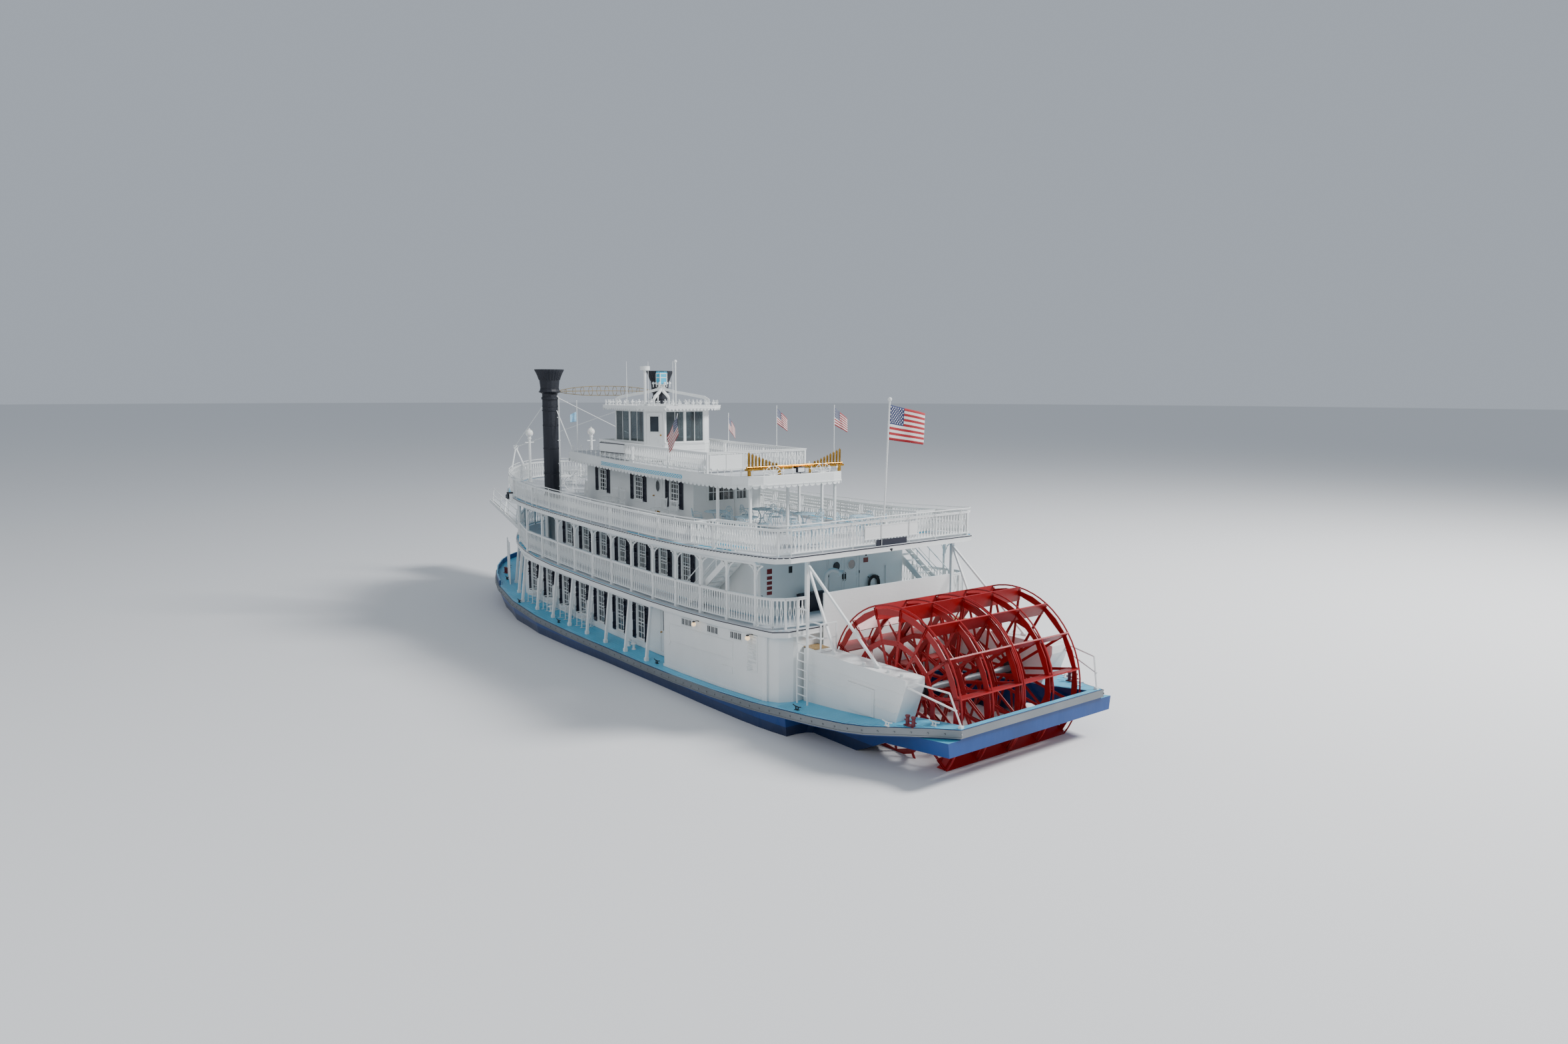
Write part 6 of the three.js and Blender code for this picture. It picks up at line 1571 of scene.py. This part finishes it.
# The side lights in their boxes, steel mushroom vents on the side decks, and lacy iron screens forward, whose
# curls are held between two posts and two bars.
screens = Joinery()
for side in (1, -1):
    z = deck(10.27) + 4.62
    screens.board((10.05, 10.5), (side * 4.3, side * 4.56), (z, z + 0.34), 1)
    screens.board((9.7, 10.02), (side * 4.4, side * 4.62), (z + 0.02, z + 0.3))
    screens.turned([(0.07, 0), (0.09, 0.02), (0.09, 0.16), (0.05, 0.2), (0.0, 0.21)],
                   (10.28, side * 4.61, z + 0.06), 14, 2)
    for x, y in ((-1.08, 4.3), (-1.67, 4.4), (5.99, 4.45)):
        screens.turned([(0.09, 0), (0.09, 0.02), (0.05, 0.05), (0.05, 0.2), (0.13, 0.22), (0.13, 0.25),
                        (0.05, 0.3), (0.0, 0.31)], (x, side * y, deck(x) + 0.003), 14)
screens.make("side_lights_and_vents", [white, black, glass])
curl = Joinery()
for x, z, radius, thick, count in ((0, 0.14, 0.1, 0.011, 12), (0, 0.14, 0.045, 0.009, 8),
                                   (0.11, 0.27, 0.04, 0.008, 8), (0.11, 0.02, 0.04, 0.008, 8)):
    loop_of(curl, (x, 0, z), (1, 0, 0), (0, 0, 1), radius, thick, count)
lines = [raised([(11.9, side * 3.95, 0.12 + 0.28 * level), (12.9, side * 3.62, 0.12 + 0.28 * level)])
         for side in (1, -1) for level in range(7)]
row("iron_screens", lines, curl, 0.235, white)
frames_of = Joinery()
for side in (1, -1):
    for x, y in ((11.8, 3.98), (13.0, 3.58)):
        frames_of.rod((x, side * y, deck(x) + 0.002), (x, side * y, deck(x) + 2.18), 0.03, 10)
    for z in (0.08, 2.1):
        frames_of.run(raised([(11.8, side * 3.98, z), (13.0, side * 3.58, z)]), 0.03, 0.04)
frames_of.make("screen_frames", [white])

# The landing stage: planking on its deck, kick boards, a pipe rail through the posts with a cap on each, and
# upright ribs between two flanges on each edge beam. All of it swings with the stage.
ANGLE = math.radians(16.0)


def on_stage(p):
    """A place on the level stage, tilted to its rest position."""
    x, y, z = p
    return (11.2 + x * math.cos(ANGLE) - z * math.sin(ANGLE), y, 1.58 + x * math.sin(ANGLE) + z * math.cos(ANGLE))


gangway = Joinery()
for k in range(40):
    x = 0.16 + 0.255 * k
    gangway.board((x, x + 0.235), (-1.14, 1.14), (0.021, 0.036), 1)
for side in (-1, 1):
    gangway.board((0.1, 10.38), (side * 1.12, side * 1.15), (0.02, 0.12))
    for z in (0.45, 0.85):
        gangway.rod((4.26, side * 1.2, z), (10.09, side * 1.2, z), 0.028, 8)
    for k in range(18):
        x = 0.3 + 0.56 * k
        gangway.board((x, x + 0.035), (side * 1.236, side * 1.25), (-0.11, 0.05))
    gangway.board((-0.02, 10.42), (side * 1.236, side * 1.246), (0.02, 0.055))
    gangway.board((-0.02, 10.42), (side * 1.236, side * 1.246), (-0.118, -0.085))
    for k in range(6):
        x = 4.3 + 1.15 * k
        gangway.turned([(0.034, 0), (0.034, 0.01), (0.02, 0.03), (0.0, 0.034)], (x, side * 1.2, 0.87), 8)
gangway.points = [on_stage(p) for p in gangway.points]
gangway.make("stage_planking", [white, pale_deck], "stage", "white_paint")

# Handrails on both sides of each stair to the third deck: two bars of painted steel pipe, on stanchions that
# are bolted to the stair's strings.
handrails = Joinery()
for side, foot, head in ((1, -5.35, -8.55), (-1, -10.75, -7.35)):
    low, high = deck(foot) + SECOND, deck(head) + THIRD
    for y in (3.58, 4.24):
        at = lambda t, up: (foot + (head - foot) * t, side * y, low + (high - low) * t + up)
        for up in (0.48, 0.9):
            handrails.run([at(0.03, up), at(0.97, up)], 0.036, 0.036, sides=8)
        for t in (0.04, 0.35, 0.65, 0.96):
            handrails.run([at(t, 0.06), at(t, 0.9)], 0.03, 0.03, sides=8)
handrails.make("stair_handrails", [white])

# Between the chimneys: a spreader of four bowed rods held apart by hoops, a wire stay that crosses from the port
# chimney to the roof to starboard, and a white drain pipe clamped up the inboard side of each chimney. Three
# thin aerials are screwed to the pilothouse roof.
buff = paint("spreader_buff", "a08c60", 0.42, 0.25, metallic=0.3)
spreader = Joinery()
HALF_SPAN, LIFT = 2.62, 10.905
bow = lambda y: 0.012 + 0.213 * max(0.0, 1 - (abs(y) / HALF_SPAN) ** 3)
level = lambda y: LIFT + 0.03 * (1 - (y / HALF_SPAN) ** 2)
for k in range(4):
    a = math.pi / 2 * k
    path = []
    for i in range(25):
        y = 2.66 * math.cos(math.pi * i / 24)
        path.append((CHIMNEY_X + bow(y) * math.cos(a), y, level(y) + bow(y) * math.sin(a)))
    spreader.run(path, 0.03, 0.03, sides=6)
for i in range(11):
    y = -2.2 + 0.44 * i
    spreader.run([(CHIMNEY_X + u, y, level(y) + v) for u, v in circle(16, bow(y))], 0.026, 0.026, closed=True,
                 sides=5)
for side in (1, -1):
    spreader.turned([(0.07, -0.03), (0.07, 0.02), (0.035, 0.07), (0.0, 0.11)], (CHIMNEY_X, side * 2.67, LIFT), 12,
                    axis=(0, -side, 0))
spreader.make("chimney_spreader", [buff], "boat", "steel")
stays = Joinery()
top, foot_eye = Vector((8.42, 2.66, 10.58)), Vector((7.38, -2.42, 7.98))
along = (foot_eye - top).normalized()
stays.rod(top, foot_eye, 0.016, 8)
for end, way in ((top, along), (foot_eye, -along)):
    stays.turned([(0.0, 0.0), (0.03, 0.02), (0.03, 0.06), (0.022, 0.08), (0.022, 0.4), (0.034, 0.42), (0.03, 0.48),
                  (0.016, 0.5)], end, 10, axis=way)
for side in (1, -1):
    x, y = 8.3, side * 2.73
    foot = deck(x) + THIRD
    stays.run([(x, y, foot + 0.01), (x, y, 10.62), (x + 0.05, y + side * 0.06, 10.68)], 0.07, 0.07, sides=10)
    stays.turned([(0.075, 0.0), (0.075, 0.02), (0.04, 0.05)], (x, y, foot), 12)
    for z in (foot + 0.6, foot + 1.7, foot + 2.8, foot + 3.9):
        stays.turned([(0.034, 0), (0.046, 0.004), (0.046, 0.05), (0.034, 0.054)], (x, y, z), 12)
        stays.board((x - 0.01, x + 0.09), (side * 2.72, side * 2.82), (z + 0.012, z + 0.042))
stays.make("chimney_stays", [white])
whips = Joinery()
for x, y, thick in ((4.2, 1.3, 0.016), (3.3, 0.7, 0.014), (2.5, -0.1, 0.018)):
    whips.turned([(0.05, 0.0), (0.05, 0.03), (0.03, 0.05), (0.03, 0.22), (thick, 0.25), (thick * 0.5, 1.93),
                  (0.0, 1.96)], (x, y, 10.32), 8)
whips.make("aerials", [white])

# Guys of the landing stage: a wire rope from a collar on each chimney, with a turnbuckle, to a shackle at the
# A-frame's head. The wire pays out as the stage is lowered. It has points only at its two ends, which keeps it
# straight.
for name, side in (("port", 1), ("starboard", -1)):
    guy = Joinery()
    eye, head = Vector((8.97, side * 2.935, 10.59)), Vector((19.99, side * 0.09, 7.65))
    along = (head - eye).normalized()
    guy.turned([(0.355, 0), (0.4, 0.006), (0.4, 0.114), (0.355, 0.12)], (CHIMNEY_X, side * CHIMNEY_Y, 10.52), 28,
               1)
    guy.turned([(0.0, -0.02), (0.045, 0.0), (0.045, 0.05), (0.024, 0.08), (0.024, 0.36), (0.04, 0.39),
                (0.034, 0.44), (0.016, 0.48)], eye, 10, axis=along)
    guy.rod(eye + along * 0.46, head - along * 0.1, 0.018, 8)
    guy.turned([(0.0, -0.3), (0.02, -0.28), (0.028, -0.2), (0.034, -0.1), (0.045, -0.05), (0.045, 0.0),
                (0.0, 0.03)], head, 10, axis=along)
    wire = guy.make("guy_" + name, [white, black], None, "steel", ("stage_guy_" + name,))
    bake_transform(wire)
